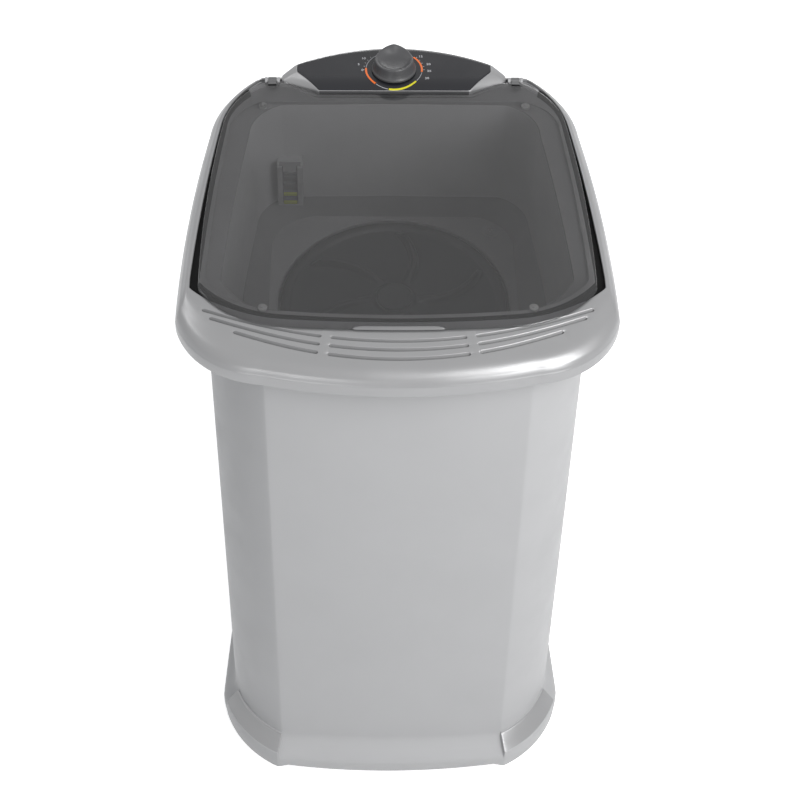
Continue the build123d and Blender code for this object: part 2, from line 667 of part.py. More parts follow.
# Lid: smoked plate with a rounded front lip, notched round the control pod
lip_plan = Plan(
    lid_plan.front_mid - lid_lip, (lid_plan.edge[0], lid_plan.edge[1] - lid_lip),
    (lid_plan.corner[0] + 2, lid_plan.corner[1] - 5), lid_plan.side, lid_plan.flank,
    lid_plan.haunch, lid_plan.rear_corner, lid_plan.rear_edge, lid_plan.rear_mid)
lid_low_z = lid_top_z - lid_wall
lid_skirt_low_z = ledge_z + lid_skirt_gap
lid_skirt = lid_plan.inset(8, 1.5, 1.5)
with BuildPart() as lid:
    stack([(lid_low_z, lip_plan), (lid_low_z + 1, lip_plan), (lid_top_z, lid_plan)])
    with BuildSketch(Plane.XY.offset(lid_low_z)):
        pod_outline(pod_base_half, pod_base_back, pod_base_corner, -pod_gap)
    extrude(amount=lid_wall + 1, mode=Mode.SUBTRACT)
    for sign in (-1, 1):
        # Seat of the knuckle's arm, and bumper sockets
        slab(sign * hinge_x - knuckle_half, sign * hinge_x + knuckle_half, arm_back, lid_rear + 1,
             lid_low_z, lid_top_z, Mode.SUBTRACT)
        rod(sign * bumper_x, bumper_back, lid_low_z, lid_low_z + 2, screw_r, Mode.SUBTRACT)
        rod(sign * (bumper_x + 10), rear_bumper_back, lid_low_z, lid_low_z + 2, screw_r, Mode.SUBTRACT)
finish(lid, "lid")

# Skirt under the lid's edge
with BuildPart() as lid_rib:
    prism(lid_skirt, lid_skirt_low_z, lid_low_z)
    prism(lid_skirt.inset(*wall(lid_skirt_wall)), lid_skirt_low_z, lid_low_z, Mode.SUBTRACT)
    with BuildSketch(Plane.XY.offset(lid_skirt_low_z)):
        pod_outline(pod_base_half, pod_base_back, pod_base_corner, -pod_gap)
    extrude(amount=lid_low_z - lid_skirt_low_z, mode=Mode.SUBTRACT)
finish(lid_rib, "lid_skirt")

# Hinge knuckles with the arms that join them to the lid
with BuildPart() as lid_knuckles:
    for sign in (-1, 1):
        slab(sign * hinge_x - knuckle_half, sign * hinge_x + knuckle_half, arm_back, hinge_back,
             lid_low_z, lid_top_z)
        across(hinge_z, hinge_back, sign * hinge_x - knuckle_half, sign * hinge_x + knuckle_half, knuckle_r)
        across(hinge_z, hinge_back, sign * hinge_x - knuckle_half, sign * hinge_x + knuckle_half,
               hinge_pin_r, Mode.SUBTRACT)
finish(lid_knuckles, "lid_knuckles")

bumper_spots = [(sign * x, back) for sign in (-1, 1) for x, back in ((bumper_x, bumper_back), (bumper_x + 10, rear_bumper_back))]
with BuildPart() as lid_bumpers:
    for x, back in bumper_spots:
        rod(x, back, ledge_z + seat_gap, lid_low_z, bumper_r)
        rod(x, back, lid_low_z, lid_low_z + 2, screw_r)
finish(lid_bumpers, "lid_bumpers")

with BuildPart() as hinge_pins:
    for sign in (-1, 1):
        reach = knuckle_half + bracket_gap + bracket_wall
        across(hinge_z, hinge_back, sign * hinge_x - reach, sign * hinge_x + reach, hinge_pin_r)
finish(hinge_pins, "hinge_pins")

with BuildPart() as hinge_brackets:
    for sign in (-1, 1):
        reach = knuckle_half + bracket_gap
        slab(sign * hinge_x - reach - bracket_wall, sign * hinge_x + reach + bracket_wall,
             hinge_back - knuckle_r, hinge_back + knuckle_r, ledge_z, ledge_z + 1.2)
        for low, high in ((-reach - bracket_wall, -reach), (reach, reach + bracket_wall)):
            slab(sign * hinge_x + low, sign * hinge_x + high, hinge_back - knuckle_r,
                 hinge_back + knuckle_r, ledge_z, hinge_z)
            across(hinge_z, hinge_back, sign * hinge_x + low, sign * hinge_x + high, knuckle_r)
            across(hinge_z, hinge_back, sign * hinge_x + low, sign * hinge_x + high,
                   hinge_pin_r + hinge_play, Mode.SUBTRACT)
finish(hinge_brackets, "hinge_brackets")

# Tub: hangs under the ledge, narrows to a facetted bowl, with a round well for the pulsator
tub_flange = 8.0
well_z = bowl_floor_z - recess_depth
under_z = well_z - tub_wall
drive_bosses = [(housing_pitch_r * cos(angle), drive_back + housing_pitch_r * sin(angle))
                for angle in (radians(45 + 90 * turn) for turn in range(4))]
plate_screw_spots = [(-80, 118), (80, 118), (-80, 185), (80, 185)]
motor_top_z = under_z - motor_drop
plate_top_z = motor_top_z + plate_t
housing_top_z = under_z - 8.0
filter_x = 117.0 - half
with BuildPart() as tub:
    prism(opening.inset(-tub_flange, -tub_flange, -tub_flange), ledge_z - frame_wall - 3, ledge_z - frame_wall)
    shell_levels = [(bowl_floor_z, bowl_floor), (bowl_top_z, bowl_top),
                    (cabinet_top_z + frame_wall, collar), (ledge_z - frame_wall - 7, collar),
                    (ledge_z - frame_wall, opening)]
    outer_levels = [(bowl_floor_z - tub_wall, bowl_floor.inset(*wall(-tub_wall)))]
    outer_levels += [(level, plan.inset(*wall(-tub_wall))) for level, plan in shell_levels[1:]]
    stack(outer_levels)
    rod(0, drive_back, under_z, bowl_floor_z, pulsator_well + tub_wall)
    # Bosses for the bearing housing and the motor plate
    for x, back in drive_bosses:
        rod(x, back, housing_top_z, well_z, boss_r)
    for x, back in plate_screw_spots:
        rod(x, back, plate_top_z, bowl_top_z - 10, boss_r)
    rod(drain_x, drain_back, under_z - 28, bowl_floor_z, spigot_r)
    # Hollow
    stack(shell_levels, Mode.SUBTRACT)
    rod(0, drive_back, well_z, bowl_floor_z, pulsator_well, Mode.SUBTRACT)
    rod(0, drive_back, under_z, well_z, drive_shaft_r + seal_wall + 2, Mode.SUBTRACT)
    rod(drain_x, drain_back, under_z - 28, bowl_floor_z, spigot_r - 2, Mode.SUBTRACT)
    for x, back in drive_bosses:
        rod(x, back, housing_top_z, under_z - 0.5, screw_r, Mode.SUBTRACT)
    for x, back in plate_screw_spots:
        rod(x, back, plate_top_z, plate_top_z + 6, screw_r, Mode.SUBTRACT)
finish(tub, "tub")

# Drain grate pressed in the drain hole
with BuildPart() as drain_grate:
    rod(drain_x, drain_back, bowl_floor_z, bowl_floor_z + 1.5, spigot_r + 1)
    rod(drain_x, drain_back, bowl_floor_z - 4, bowl_floor_z, spigot_r - 2.1)
    with BuildSketch(Plane.XY.offset(bowl_floor_z - 4)):
        with Locations(at(drain_x, drain_back)):
            with PolarLocations(4.5, 6):
                Circle(1.6)
            Circle(1.6)
    extrude(amount=6, mode=Mode.SUBTRACT)
finish(drain_grate, "drain_grate")

# Inner drain hose from the spigot down to the outlet
with BuildPart() as drain_hose:
    with BuildLine() as hose_line:
        FilletPolyline((drain_x, front + drain_back, under_z - 14), (drain_x, front + drain_back, outlet_z),
                       (drain_x, front + cabinet_rear - cabinet_wall - 4, outlet_z), radius=25)
    with BuildSketch(Plane((drain_x, front + drain_back, under_z - 14), z_dir=(0, 0, -1))):
        Circle(spigot_r + hose_wall)
        Circle(spigot_r, mode=Mode.SUBTRACT)
    sweep(path=hose_line.line)
finish(drain_hose, "drain_hose")

# Lint filter: a channel on the tub's rear wall, and the filter that slides up out of it
filter_low_z = bowl_top_z + 14.0
filter_height = 110.0
filter_half = 13.0
rear_face = opening_rear - 12.0
channel_wall = 2.0
with BuildPart() as filter_channel:
    slab(filter_x - filter_half - channel_wall, filter_x + filter_half + channel_wall,
         rear_face - 12, bowl_top.rear_mid + 5, filter_low_z - 4, filter_low_z + filter_height)
    stack([(level, plan.inset(*wall(seat_gap))) for level, plan in shell_levels[1:3]], Mode.INTERSECT)
    slab(filter_x - filter_half, filter_x + filter_half, rear_face - 10, rear_face - 2,
         filter_low_z, filter_low_z + filter_height, Mode.SUBTRACT)
    slab(filter_x - filter_half + 4, filter_x + filter_half - 4, rear_face - 12, rear_face - 9,
         filter_low_z, filter_low_z + filter_height, Mode.SUBTRACT)
finish(filter_channel, "filter_channel")

with BuildPart() as lint_filter:
    slab(filter_x - filter_half + seat_gap, filter_x + filter_half - seat_gap,
         rear_face - 9.7, rear_face - 2.3, filter_low_z + seat_gap, filter_low_z + filter_height)
    # Framed windows for the mesh, and a grip that stands out in front at the top
    for row in range(4):
        low = filter_low_z + 8 + row * 24
        slab(filter_x - 8, filter_x + 8, rear_face - 9.7, rear_face - 5, low, low + 18, Mode.SUBTRACT)
    slab(filter_x - 8, filter_x + 8, rear_face - 20, rear_face - 9.7,
         filter_low_z + filter_height - 6, filter_low_z + filter_height)
finish(lint_filter, "lint_filter")

with BuildPart() as filter_bars:
    for low in (filter_low_z + 2, filter_low_z + 26.5):
        slab(filter_x - 8, filter_x + 8, rear_face - 13, rear_face - 9.7, low, low + 5)
finish(filter_bars, "filter_bars")

# Pulsator with its fins, screwed down on the drive shaft
pulsator_low_z = well_z + 2.0
pulsator_rim_z = pulsator_low_z + pulsator_rim
hub_r = 24.0
hub_top_z = pulsator_rim_z + pulsator_dome + 6.0
seat_z = hub_top_z - 12.0
bolt_r = 3.0
axis_y = front + drive_back
with BuildPart() as pulsator:
    with BuildSketch(Plane.XZ.offset(-axis_y)):
        with BuildLine():
            Line((0, pulsator_low_z), (pulsator_r, pulsator_low_z))
            Line((pulsator_r, pulsator_low_z), (pulsator_r, pulsator_rim_z - 2))
            ThreePointArc((pulsator_r, pulsator_rim_z - 2), (pulsator_r - 0.6, pulsator_rim_z - 0.6),
                          (pulsator_r - 2, pulsator_rim_z))
            Line((pulsator_r - 2, pulsator_rim_z), (pulsator_r - 10, pulsator_rim_z))
            Line((pulsator_r - 10, pulsator_rim_z), (pulsator_r - 14, pulsator_rim_z - 3))
            ThreePointArc((pulsator_r - 14, pulsator_rim_z - 3), (78, pulsator_rim_z + 1),
                          (hub_r + 8, pulsator_rim_z + pulsator_dome))
            ThreePointArc((hub_r + 8, pulsator_rim_z + pulsator_dome),
                          (hub_r + 2, pulsator_rim_z + pulsator_dome + 2), (hub_r, hub_top_z))
            Line((hub_r, hub_top_z), (0, hub_top_z))
            Line((0, hub_top_z), (0, pulsator_low_z))
        make_face()
    revolve(axis=Axis((0, axis_y, 0), (0, 0, 1)))
    # Curved fins that rise from the dish
    for fin in range(fin_count):
        turn = 2 * pi * fin / fin_count

        def fin_point(radius, lead):
            angle = turn + radians(lead)
            return (radius * cos(angle), axis_y + radius * sin(angle))
        for level, fin_width in ((pulsator_low_z + 2, 12), (pulsator_rim_z + fin_height, 5)):
            with BuildSketch(Plane.XY.offset(level)):
                with BuildLine():
                    ThreePointArc(fin_point(hub_r + 4, 0), fin_point(72, 9), fin_point(pulsator_r - 20, 26))
                trace(line_width=fin_width)
        loft(ruled=True)
    with BuildSketch(Plane.XY.offset(seat_z)):
        with Locations((0, axis_y)):
            Circle(hub_r - 5)
    extrude(amount=12, mode=Mode.SUBTRACT)
    rod(0, drive_back, pulsator_low_z, seat_z - 3, drive_shaft_r, Mode.SUBTRACT)
    rod(0, drive_back, seat_z - 3, seat_z, bolt_r, Mode.SUBTRACT)
finish(pulsator, "pulsator")

with BuildPart() as pulsator_bolt:
    rod(0, drive_back, seat_z - 15, seat_z, bolt_r)
    with BuildSketch(Plane.XY.offset(seat_z)):
        with Locations(at(0, drive_back)):
            RegularPolygon(6.5, 6)
    extrude(amount=4)
    rod(0, drive_back, seat_z, seat_z + 1, 9)
finish(pulsator_bolt, "pulsator_bolt")

with BuildPart() as pulsator_cap:
    rod(0, drive_back, hub_top_z, hub_top_z + 4, hub_r - 2)
    fillet(pulsator_cap.edges().group_by(Axis.Z)[-1], 2.5)
    rod(0, drive_back, seat_z + 8, hub_top_z, hub_r - 5)
finish(pulsator_cap, "pulsator_cap")

barrel_low_z = housing_top_z - barrel_length
pulley_top_z = barrel_low_z - pulley_drop
shaft_low_z = pulley_top_z - pulley_height - 14
with BuildPart() as drive_shaft:
    rod(0, drive_back, shaft_low_z, seat_z - 3, drive_shaft_r)
    rod(0, drive_back, seat_z - 15, seat_z - 3, bolt_r, Mode.SUBTRACT)
finish(drive_shaft, "drive_shaft")

# Bearing housing under the tub, with a collar and gasket against the tub's floor
bush_r = drive_shaft_r + running_fit + bush_wall
barrel_r = bush_r + barrel_wall
collar_top_z = under_z - gasket_t
seal_r = drive_shaft_r + running_fit + seal_wall
with BuildPart() as bearing_housing:
    rod(0, drive_back, housing_top_z - housing_flange_t, housing_top_z, housing_flange_r)
    rod(0, drive_back, barrel_low_z, housing_top_z, barrel_r)
    rod(0, drive_back, housing_top_z, collar_top_z, collar_r)
    with BuildSketch(Plane.XY.offset(housing_top_z - housing_flange_t - 30)):
        with Locations((0, axis_y)):
            Rectangle(2 * housing_flange_r - 14, 4)
            Rectangle(4, 2 * housing_flange_r - 14)
    extrude(amount=30)
    rod(0, drive_back, barrel_low_z, collar_top_z, bush_r, Mode.SUBTRACT)
    rod(0, drive_back, collar_top_z - seal_depth, collar_top_z, seal_r, Mode.SUBTRACT)
    for x, back in drive_bosses:
        rod(x, back, housing_top_z - housing_flange_t, housing_top_z, screw_r + screw_play, Mode.SUBTRACT)
finish(bearing_housing, "bearing_housing")

with BuildPart() as housing_screws:
    upright_screws(drive_bosses, housing_top_z - housing_flange_t, housing_top_z + 7)
finish(housing_screws, "housing_screws")

with BuildPart() as housing_gasket:
    rod(0, drive_back, collar_top_z, under_z, collar_r)
    rod(0, drive_back, collar_top_z, under_z, drive_shaft_r + seal_wall + 2, Mode.SUBTRACT)
finish(housing_gasket, "housing_gasket")


def sleeve(low, high, outer, inner, x=0.0, back=drive_back):
    """A plain ring between two heights."""
    rod(x, back, low, high, outer)
    rod(x, back, low, high, inner, Mode.SUBTRACT)


with BuildPart() as shaft_seal:
    sleeve(collar_top_z - seal_depth, collar_top_z, seal_r, drive_shaft_r + running_fit)
finish(shaft_seal, "shaft_seal")

with BuildPart() as upper_bush:
    sleeve(collar_top_z - seal_depth - 2 - bush_length, collar_top_z - seal_depth - 2,
           bush_r, drive_shaft_r + running_fit)
finish(upper_bush, "upper_bush")

with BuildPart() as lower_bush:
    sleeve(barrel_low_z, barrel_low_z + bush_length, bush_r, drive_shaft_r + running_fit)
finish(lower_bush, "lower_bush")

# Drive pulley with a belt groove and lightening holes
pulley_low_z = pulley_top_z - pulley_height
groove_z = pulley_top_z - pulley_height / 2
with BuildPart() as drive_pulley:
    sleeve(pulley_low_z, pulley_top_z, large_pulley_r, large_pulley_r - 14)
    rod(0, drive_back, groove_z - 3, groove_z + 3, large_pulley_r - 12)
    rod(0, drive_back, pulley_low_z - 6, barrel_low_z - 2, 18)
    with BuildSketch(Plane.XY.offset(groove_z - belt_height / 2 - 0.5)):
        with Locations(at(0, drive_back)):
            Circle(large_pulley_r + 1)
            Circle(large_pulley_r - groove_depth, mode=Mode.SUBTRACT)
    extrude(amount=belt_height + 1, mode=Mode.SUBTRACT)
    with BuildSketch(Plane.XY.offset(groove_z - 3)):
        with Locations(at(0, drive_back)):
            with PolarLocations(56, 6):
                Circle(19)
    extrude(amount=6, mode=Mode.SUBTRACT)
    rod(0, drive_back, pulley_low_z - 6, barrel_low_z - 2, drive_shaft_r, Mode.SUBTRACT)
finish(drive_pulley, "drive_pulley")

with BuildPart() as pulley_nut:
    with BuildSketch(Plane.XY.offset(shaft_low_z)):
        with Locations(at(0, drive_back)):
            RegularPolygon(14, 6)
            Circle(drive_shaft_r, mode=Mode.SUBTRACT)
    extrude(amount=pulley_low_z - 6 - shaft_low_z)
finish(pulley_nut, "pulley_nut")

# Belt: a flat-sided loop just clear of both grooves
with BuildPart() as belt:
    belt_inner = large_pulley_r - groove_depth + belt_gap
    belt_inner_small = small_pulley_r - groove_depth + belt_gap
    with BuildSketch(Plane.XY.offset(groove_z - belt_height / 2)):
        with BuildLine():
            CenterArc(at(0, drive_back), belt_inner + belt_t, 0, 360)
            CenterArc(at(0, motor_back), belt_inner_small + belt_t, 0, 360)
        make_hull()
    extrude(amount=belt_height)
    with BuildSketch(Plane.XY.offset(groove_z - belt_height / 2)):
        with BuildLine():
            CenterArc(at(0, drive_back), belt_inner, 0, 360)
            CenterArc(at(0, motor_back), belt_inner_small, 0, 360)
        make_hull()
    extrude(amount=belt_height, mode=Mode.SUBTRACT)
finish(belt, "belt")

# Motor, hung with its pulley down from a plate under the tub
motor_low_z = motor_top_z - motor_height
shield_t = 10.0
stator_low_z = motor_low_z + shield_t + 8
stator_high_z = motor_top_z - shield_t - 8
bolt_ring = [(motor_bolt_pitch_r * cos(angle), motor_back + motor_bolt_pitch_r * sin(angle))
             for angle in (radians(45 + 90 * turn) for turn in range(4))]
with BuildPart() as motor_plate:
    with BuildSketch(Plane.XY.offset(motor_top_z)):
        with Locations(at(0, motor_back + 10)):
            RectangleRounded(2 * plate_half, 96, 12)
        with Locations(at(0, motor_back)):
            Circle(22, mode=Mode.SUBTRACT)
    extrude(amount=plate_t)
    for x, back in plate_screw_spots + bolt_ring:
        rod(x, back, motor_top_z, plate_top_z, screw_r + screw_play, Mode.SUBTRACT)
finish(motor_plate, "motor_plate")

with BuildPart() as plate_screws:
    upright_screws(plate_screw_spots, motor_top_z, plate_top_z + 5)
finish(plate_screws, "plate_screws")

with BuildPart() as motor_shell:
    sleeve(motor_low_z + shield_t, motor_top_z - shield_t, motor_r, motor_r - motor_wall, 0, motor_back)
finish(motor_shell, "motor_shell")

with BuildPart() as motor_stator:
    sleeve(stator_low_z, stator_high_z, motor_r - motor_wall, rotor_r + air_gap, 0, motor_back)
    for x, back in bolt_ring:
        rod(x, back, stator_low_z, stator_high_z, screw_r + 0.5, Mode.SUBTRACT)
finish(motor_stator, "motor_stator")


def end_shield(low, bearing_low):
    """A motor end shield: a disc with a bearing seat, four bolt holes and cooling holes."""
    rod(0, motor_back, low, low + shield_t, motor_r)
    rod(0, motor_back, bearing_low, bearing_low + motor_bearing_t, motor_bearing_r, Mode.SUBTRACT)
    rod(0, motor_back, low, low + shield_t, motor_shaft_r + 2, Mode.SUBTRACT)
    for x, back in bolt_ring:
        rod(x, back, low, low + shield_t, screw_r + screw_play, Mode.SUBTRACT)
    with BuildSketch(Plane.XY.offset(low)) as sketch:
        with Locations(at(0, motor_back)):
            with PolarLocations(36, 4):
                SlotOverall(20, 9, rotation=90)
    extrude(sketch.sketch, amount=shield_t, mode=Mode.SUBTRACT)


with BuildPart() as motor_shield_upper:
    end_shield(motor_top_z - shield_t, motor_top_z - shield_t)
finish(motor_shield_upper, "motor_shield_upper")

with BuildPart() as motor_shield_lower:
    end_shield(motor_low_z, motor_low_z + shield_t - motor_bearing_t)
finish(motor_shield_lower, "motor_shield_lower")

with BuildPart() as motor_bearings:
    for low in (motor_top_z - shield_t, motor_low_z + shield_t - motor_bearing_t):
        sleeve(low, low + motor_bearing_t, motor_bearing_r, motor_shaft_r + running_fit, 0, motor_back)
finish(motor_bearings, "motor_bearings")

with BuildPart() as motor_bolts:
    for x, back in bolt_ring:
        rod(x, back, motor_low_z - 4, motor_low_z, screw_head_r)
        rod(x, back, motor_top_z - shield_t, plate_top_z + 1.5, screw_r)
        rod(x, back, motor_low_z, motor_top_z - shield_t, screw_r)
finish(motor_bolts, "motor_bolts")

with BuildPart() as motor_rotor:
    rod(0, motor_back, stator_low_z, stator_high_z, rotor_r)
    rod(0, motor_back, stator_low_z, stator_high_z, motor_shaft_r, Mode.SUBTRACT)
finish(motor_rotor, "motor_rotor")

with BuildPart() as motor_shaft:
    rod(0, motor_back, pulley_low_z - 4, motor_top_z - 1, motor_shaft_r)
finish(motor_shaft, "motor_shaft")

with BuildPart() as motor_pulley:
    rod(0, motor_back, pulley_low_z, pulley_top_z, small_pulley_r)
    with BuildSketch(Plane.XY.offset(groove_z - belt_height / 2 - 0.5)):
        with Locations(at(0, motor_back)):
            Circle(small_pulley_r + 1)
            Circle(small_pulley_r - groove_depth, mode=Mode.SUBTRACT)
    extrude(amount=belt_height + 1, mode=Mode.SUBTRACT)
    rod(0, motor_back, pulley_low_z, pulley_top_z, motor_shaft_r, Mode.SUBTRACT)
finish(motor_pulley, "motor_pulley")

with BuildPart() as motor_fan:
    fan_low = motor_low_z - 14
    sleeve(fan_low, fan_low + 8, 14, motor_shaft_r, 0, motor_back)
    for blade in range(8):
        with BuildSketch(Plane.XY.offset(fan_low)):
            with Locations(Location((0, front + motor_back), 45 * blade)):
                with Locations((26, 0)):
                    Rectangle(26, 2)
        extrude(amount=8)
finish(motor_fan, "motor_fan")

# Run capacitor in a clamp beside the motor, and the terminal box that takes the cable
capacitor_r = 17.0
capacitor_x = 84.0
capacitor_back = 152.0
with BuildPart() as capacitor:
    rod(capacitor_x, capacitor_back, motor_top_z - 66, motor_top_z, capacitor_r)
    chamfer(capacitor.edges().group_by(Axis.Z)[0], 1.5)
finish(capacitor, "capacitor")

terminal_x = -105.0
terminal_top_z = motor_top_z
cable_z = 424.0
with BuildPart() as terminal_box:
    slab(terminal_x - 21, terminal_x + 17, 112, 146, motor_top_z - 30, motor_top_z)
finish(terminal_box, "terminal_box")

# Cable from the timer down the tub's rear and forward to the terminal box
cable_back = cabinet_rear - 18.0
cable_points = [
    (cable_notch_x, dial_back + 14, timer_top_z - timer_height), (cable_notch_x, dial_back + 14, frame_z - 3),
    (cable_notch_x, cable_back, frame_z - 3), (terminal_x, cable_back, frame_z - 120),
    (terminal_x, cable_back, motor_top_z - 14), (terminal_x, 146, motor_top_z - 14)]
with BuildPart() as wiring_loom:
    with BuildLine() as loom_line:
        FilletPolyline(*[(x, front + back, z) for x, back, z in cable_points], radius=[6, 20, 150, 40])
    with BuildSketch(Plane(loom_line.line @ 0, z_dir=(0, 0, -1))):
        Circle(cable_r)
    sweep(path=loom_line.line)
finish(wiring_loom, "wiring_loom")
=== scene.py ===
"""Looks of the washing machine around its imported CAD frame."""
import json
from math import atan2, cos, hypot, pi, radians, sin

import bmesh
import bpy
import numpy as np
from mathutils import Matrix, Vector


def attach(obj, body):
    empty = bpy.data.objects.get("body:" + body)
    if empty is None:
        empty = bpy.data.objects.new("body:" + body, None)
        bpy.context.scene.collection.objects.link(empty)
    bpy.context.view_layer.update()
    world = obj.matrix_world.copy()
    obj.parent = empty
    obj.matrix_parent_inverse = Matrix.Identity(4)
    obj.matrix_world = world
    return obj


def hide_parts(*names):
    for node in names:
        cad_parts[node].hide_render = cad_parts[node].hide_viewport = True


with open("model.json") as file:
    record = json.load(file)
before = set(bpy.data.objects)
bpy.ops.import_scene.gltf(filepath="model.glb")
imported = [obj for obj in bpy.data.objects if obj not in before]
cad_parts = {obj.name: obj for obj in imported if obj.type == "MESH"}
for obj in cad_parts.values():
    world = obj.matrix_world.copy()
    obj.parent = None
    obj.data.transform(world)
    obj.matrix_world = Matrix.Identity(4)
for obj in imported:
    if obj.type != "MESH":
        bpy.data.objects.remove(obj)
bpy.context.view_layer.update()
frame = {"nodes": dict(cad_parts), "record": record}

# Shapes are written in millimetres, with "back" measured from the rim's front edge
MM = 0.001
FRONT = -270.0
PULSATOR_BACK = 300.0
DIAL_BACK = 498.0
CABINET_WALL = 3.0
FRAME_WALL = 3.2
TUB_WALL = 2.5
# Height of the control pod's level top, and how far back its front edge is
FACE_Z = 806.0
POD_LEAD = 462.0


# ---------------- outlines in plan
def arc(first, middle, last, low=0.0, high=1.0, count=80):
    """Points on the circle through three points, between two shares of its sweep."""
    (ax, ay), (bx, by), (cx, cy) = first, middle, last
    d = 2 * (ax * (by - cy) + bx * (cy - ay) + cx * (ay - by))
    a2, b2, c2 = ax * ax + ay * ay, bx * bx + by * by, cx * cx + cy * cy
    ux = (a2 * (by - cy) + b2 * (cy - ay) + c2 * (ay - by)) / d
    uy = (a2 * (cx - bx) + b2 * (ax - cx) + c2 * (bx - ax)) / d
    radius = hypot(ax - ux, ay - uy)
    start = atan2(ay - uy, ax - ux)
    sweep = (atan2(cy - uy, cx - ux) - start) % (2 * pi)
    if (atan2(by - uy, bx - ux) - start) % (2 * pi) > sweep:
        sweep -= 2 * pi
    angles = start + sweep * np.linspace(low, high, count + 1)
    return np.column_stack([ux + radius * np.cos(angles), uy + radius * np.sin(angles)])


def line(first, last, count=80):
    """Points along a straight run."""
    share = np.linspace(0, 1, count + 1)[:, None]
    return np.array(first) * (1 - share) + np.array(last) * share


class Plan:
    """Half an outline seen from above, from the front centre round to the rear centre."""

    def __init__(self, front, edge, corner, side, flank, haunch, rear_corner, rear_edge, rear):
        self.front, self.rear = front, rear
        self.points = [edge, corner, side, flank, haunch, rear_corner, rear_edge]

    def inset(self, ahead, beside, behind):
        """The same outline drawn in by a distance at the front, the sides and the rear."""
        moves = [(-0.3 * ahead, 0.875 * ahead), (-0.75 * beside - 0.25 * ahead, 0.75 * ahead),
                 (-beside, 0.44 * ahead), (-beside, 0), (-beside, -0.3 * behind),
                 (-0.75 * beside, -0.75 * behind), (-0.3 * beside, -0.95 * behind)]
        moved = [(x + dx, y + dy) for (x, y), (dx, dy) in zip(self.points, moves)]
        return Plan(self.front + ahead, *moved, self.rear - behind)

    def parts(self):
        """The five stretches of the half outline."""
        edge, corner, side, flank, haunch, rear_corner, rear_edge = self.points
        return [arc((-edge[0], edge[1]), (0, self.front), edge, 0.5, 1.0), arc(edge, corner, side),
                arc(side, flank, haunch), arc(haunch, rear_corner, rear_edge),
                line(rear_edge, (0, self.rear))]


def spread(counts, extra=()):
    """Column places, each a stretch number plus a share of it: even ones, and extra ones between."""
    extra = sorted(extra)
    last = len(counts) - 1
    even = [i + k / n for i, n in enumerate(counts) for k in range(n)] + [float(len(counts))]
    kept = [e for e in even if all(abs(e - x) > 0.35 / counts[min(int(e), last)] for x in extra)]
    return np.array(sorted(kept + list(extra)))


def loop(parts, columns, soften=0.0):
    """A closed outline: one point per column on the right half, then the same mirrored."""
    half = np.vstack([p[:-1] for p in parts] + [parts[-1][-1:]])
    whole = np.vstack([half, half[-2:0:-1] * (-1, 1), half[:1]])
    run = np.concatenate([[0], np.cumsum(np.hypot(*np.diff(whole, axis=0).T))])
    knots = run[np.cumsum([0] + [len(p) - 1 for p in parts])]
    stations = np.interp(columns, np.arange(len(parts) + 1), knots)
    total, count = run[-1], 4096
    even = np.arange(count) * total / count
    decay = np.exp(-0.5 * (2 * pi * np.fft.rfftfreq(count, total / count) * soften) ** 2)
    right = []
    for axis in range(2):
        smooth = np.fft.irfft(np.fft.rfft(np.interp(even, run, whole[:, axis])) * decay, count)
        right.append(np.interp(stations, np.append(even, total), np.append(smooth, smooth[0])))
    right = np.array(right).T
    right[[0, -1], 0] = 0
    return np.vstack([right, right[-2:0:-1] * (-1, 1)])


def both_sides(values):
    """Values for the right half's columns, repeated for the mirrored ones."""
    return np.concatenate([values, values[-2:0:-1]])


def raised(outline, z):
    """An outline in plan as 3-D points at a height, or at one height per point."""
    return np.column_stack([outline, np.broadcast_to(z, len(outline))])


def circle(radius, back, z, count=96, x=0.0):
    """A level circle of points."""
    angles = np.arange(count) * 2 * pi / count
    return np.column_stack([x + radius * np.cos(angles), back + radius * np.sin(angles),
                            np.full(count, float(z))])


def eased(keys, steps):
    """A smooth curve through key rows, with a number of steps between neighbours."""
    keys = np.array(keys, float)
    padded = np.vstack([2 * keys[0] - keys[1], keys, 2 * keys[-1] - keys[-2]])
    rows = []
    for i in range(1, len(padded) - 2):
        a, b, c, d = padded[i - 1:i + 3]
        for t in np.arange(steps) / steps:
            rows.append(0.5 * (2 * b + (c - a) * t + (2 * a - 5 * b + 4 * c - d) * t ** 2
                               + (3 * b - a - 3 * c + d) * t ** 3))
    return rows + [keys[-1]]


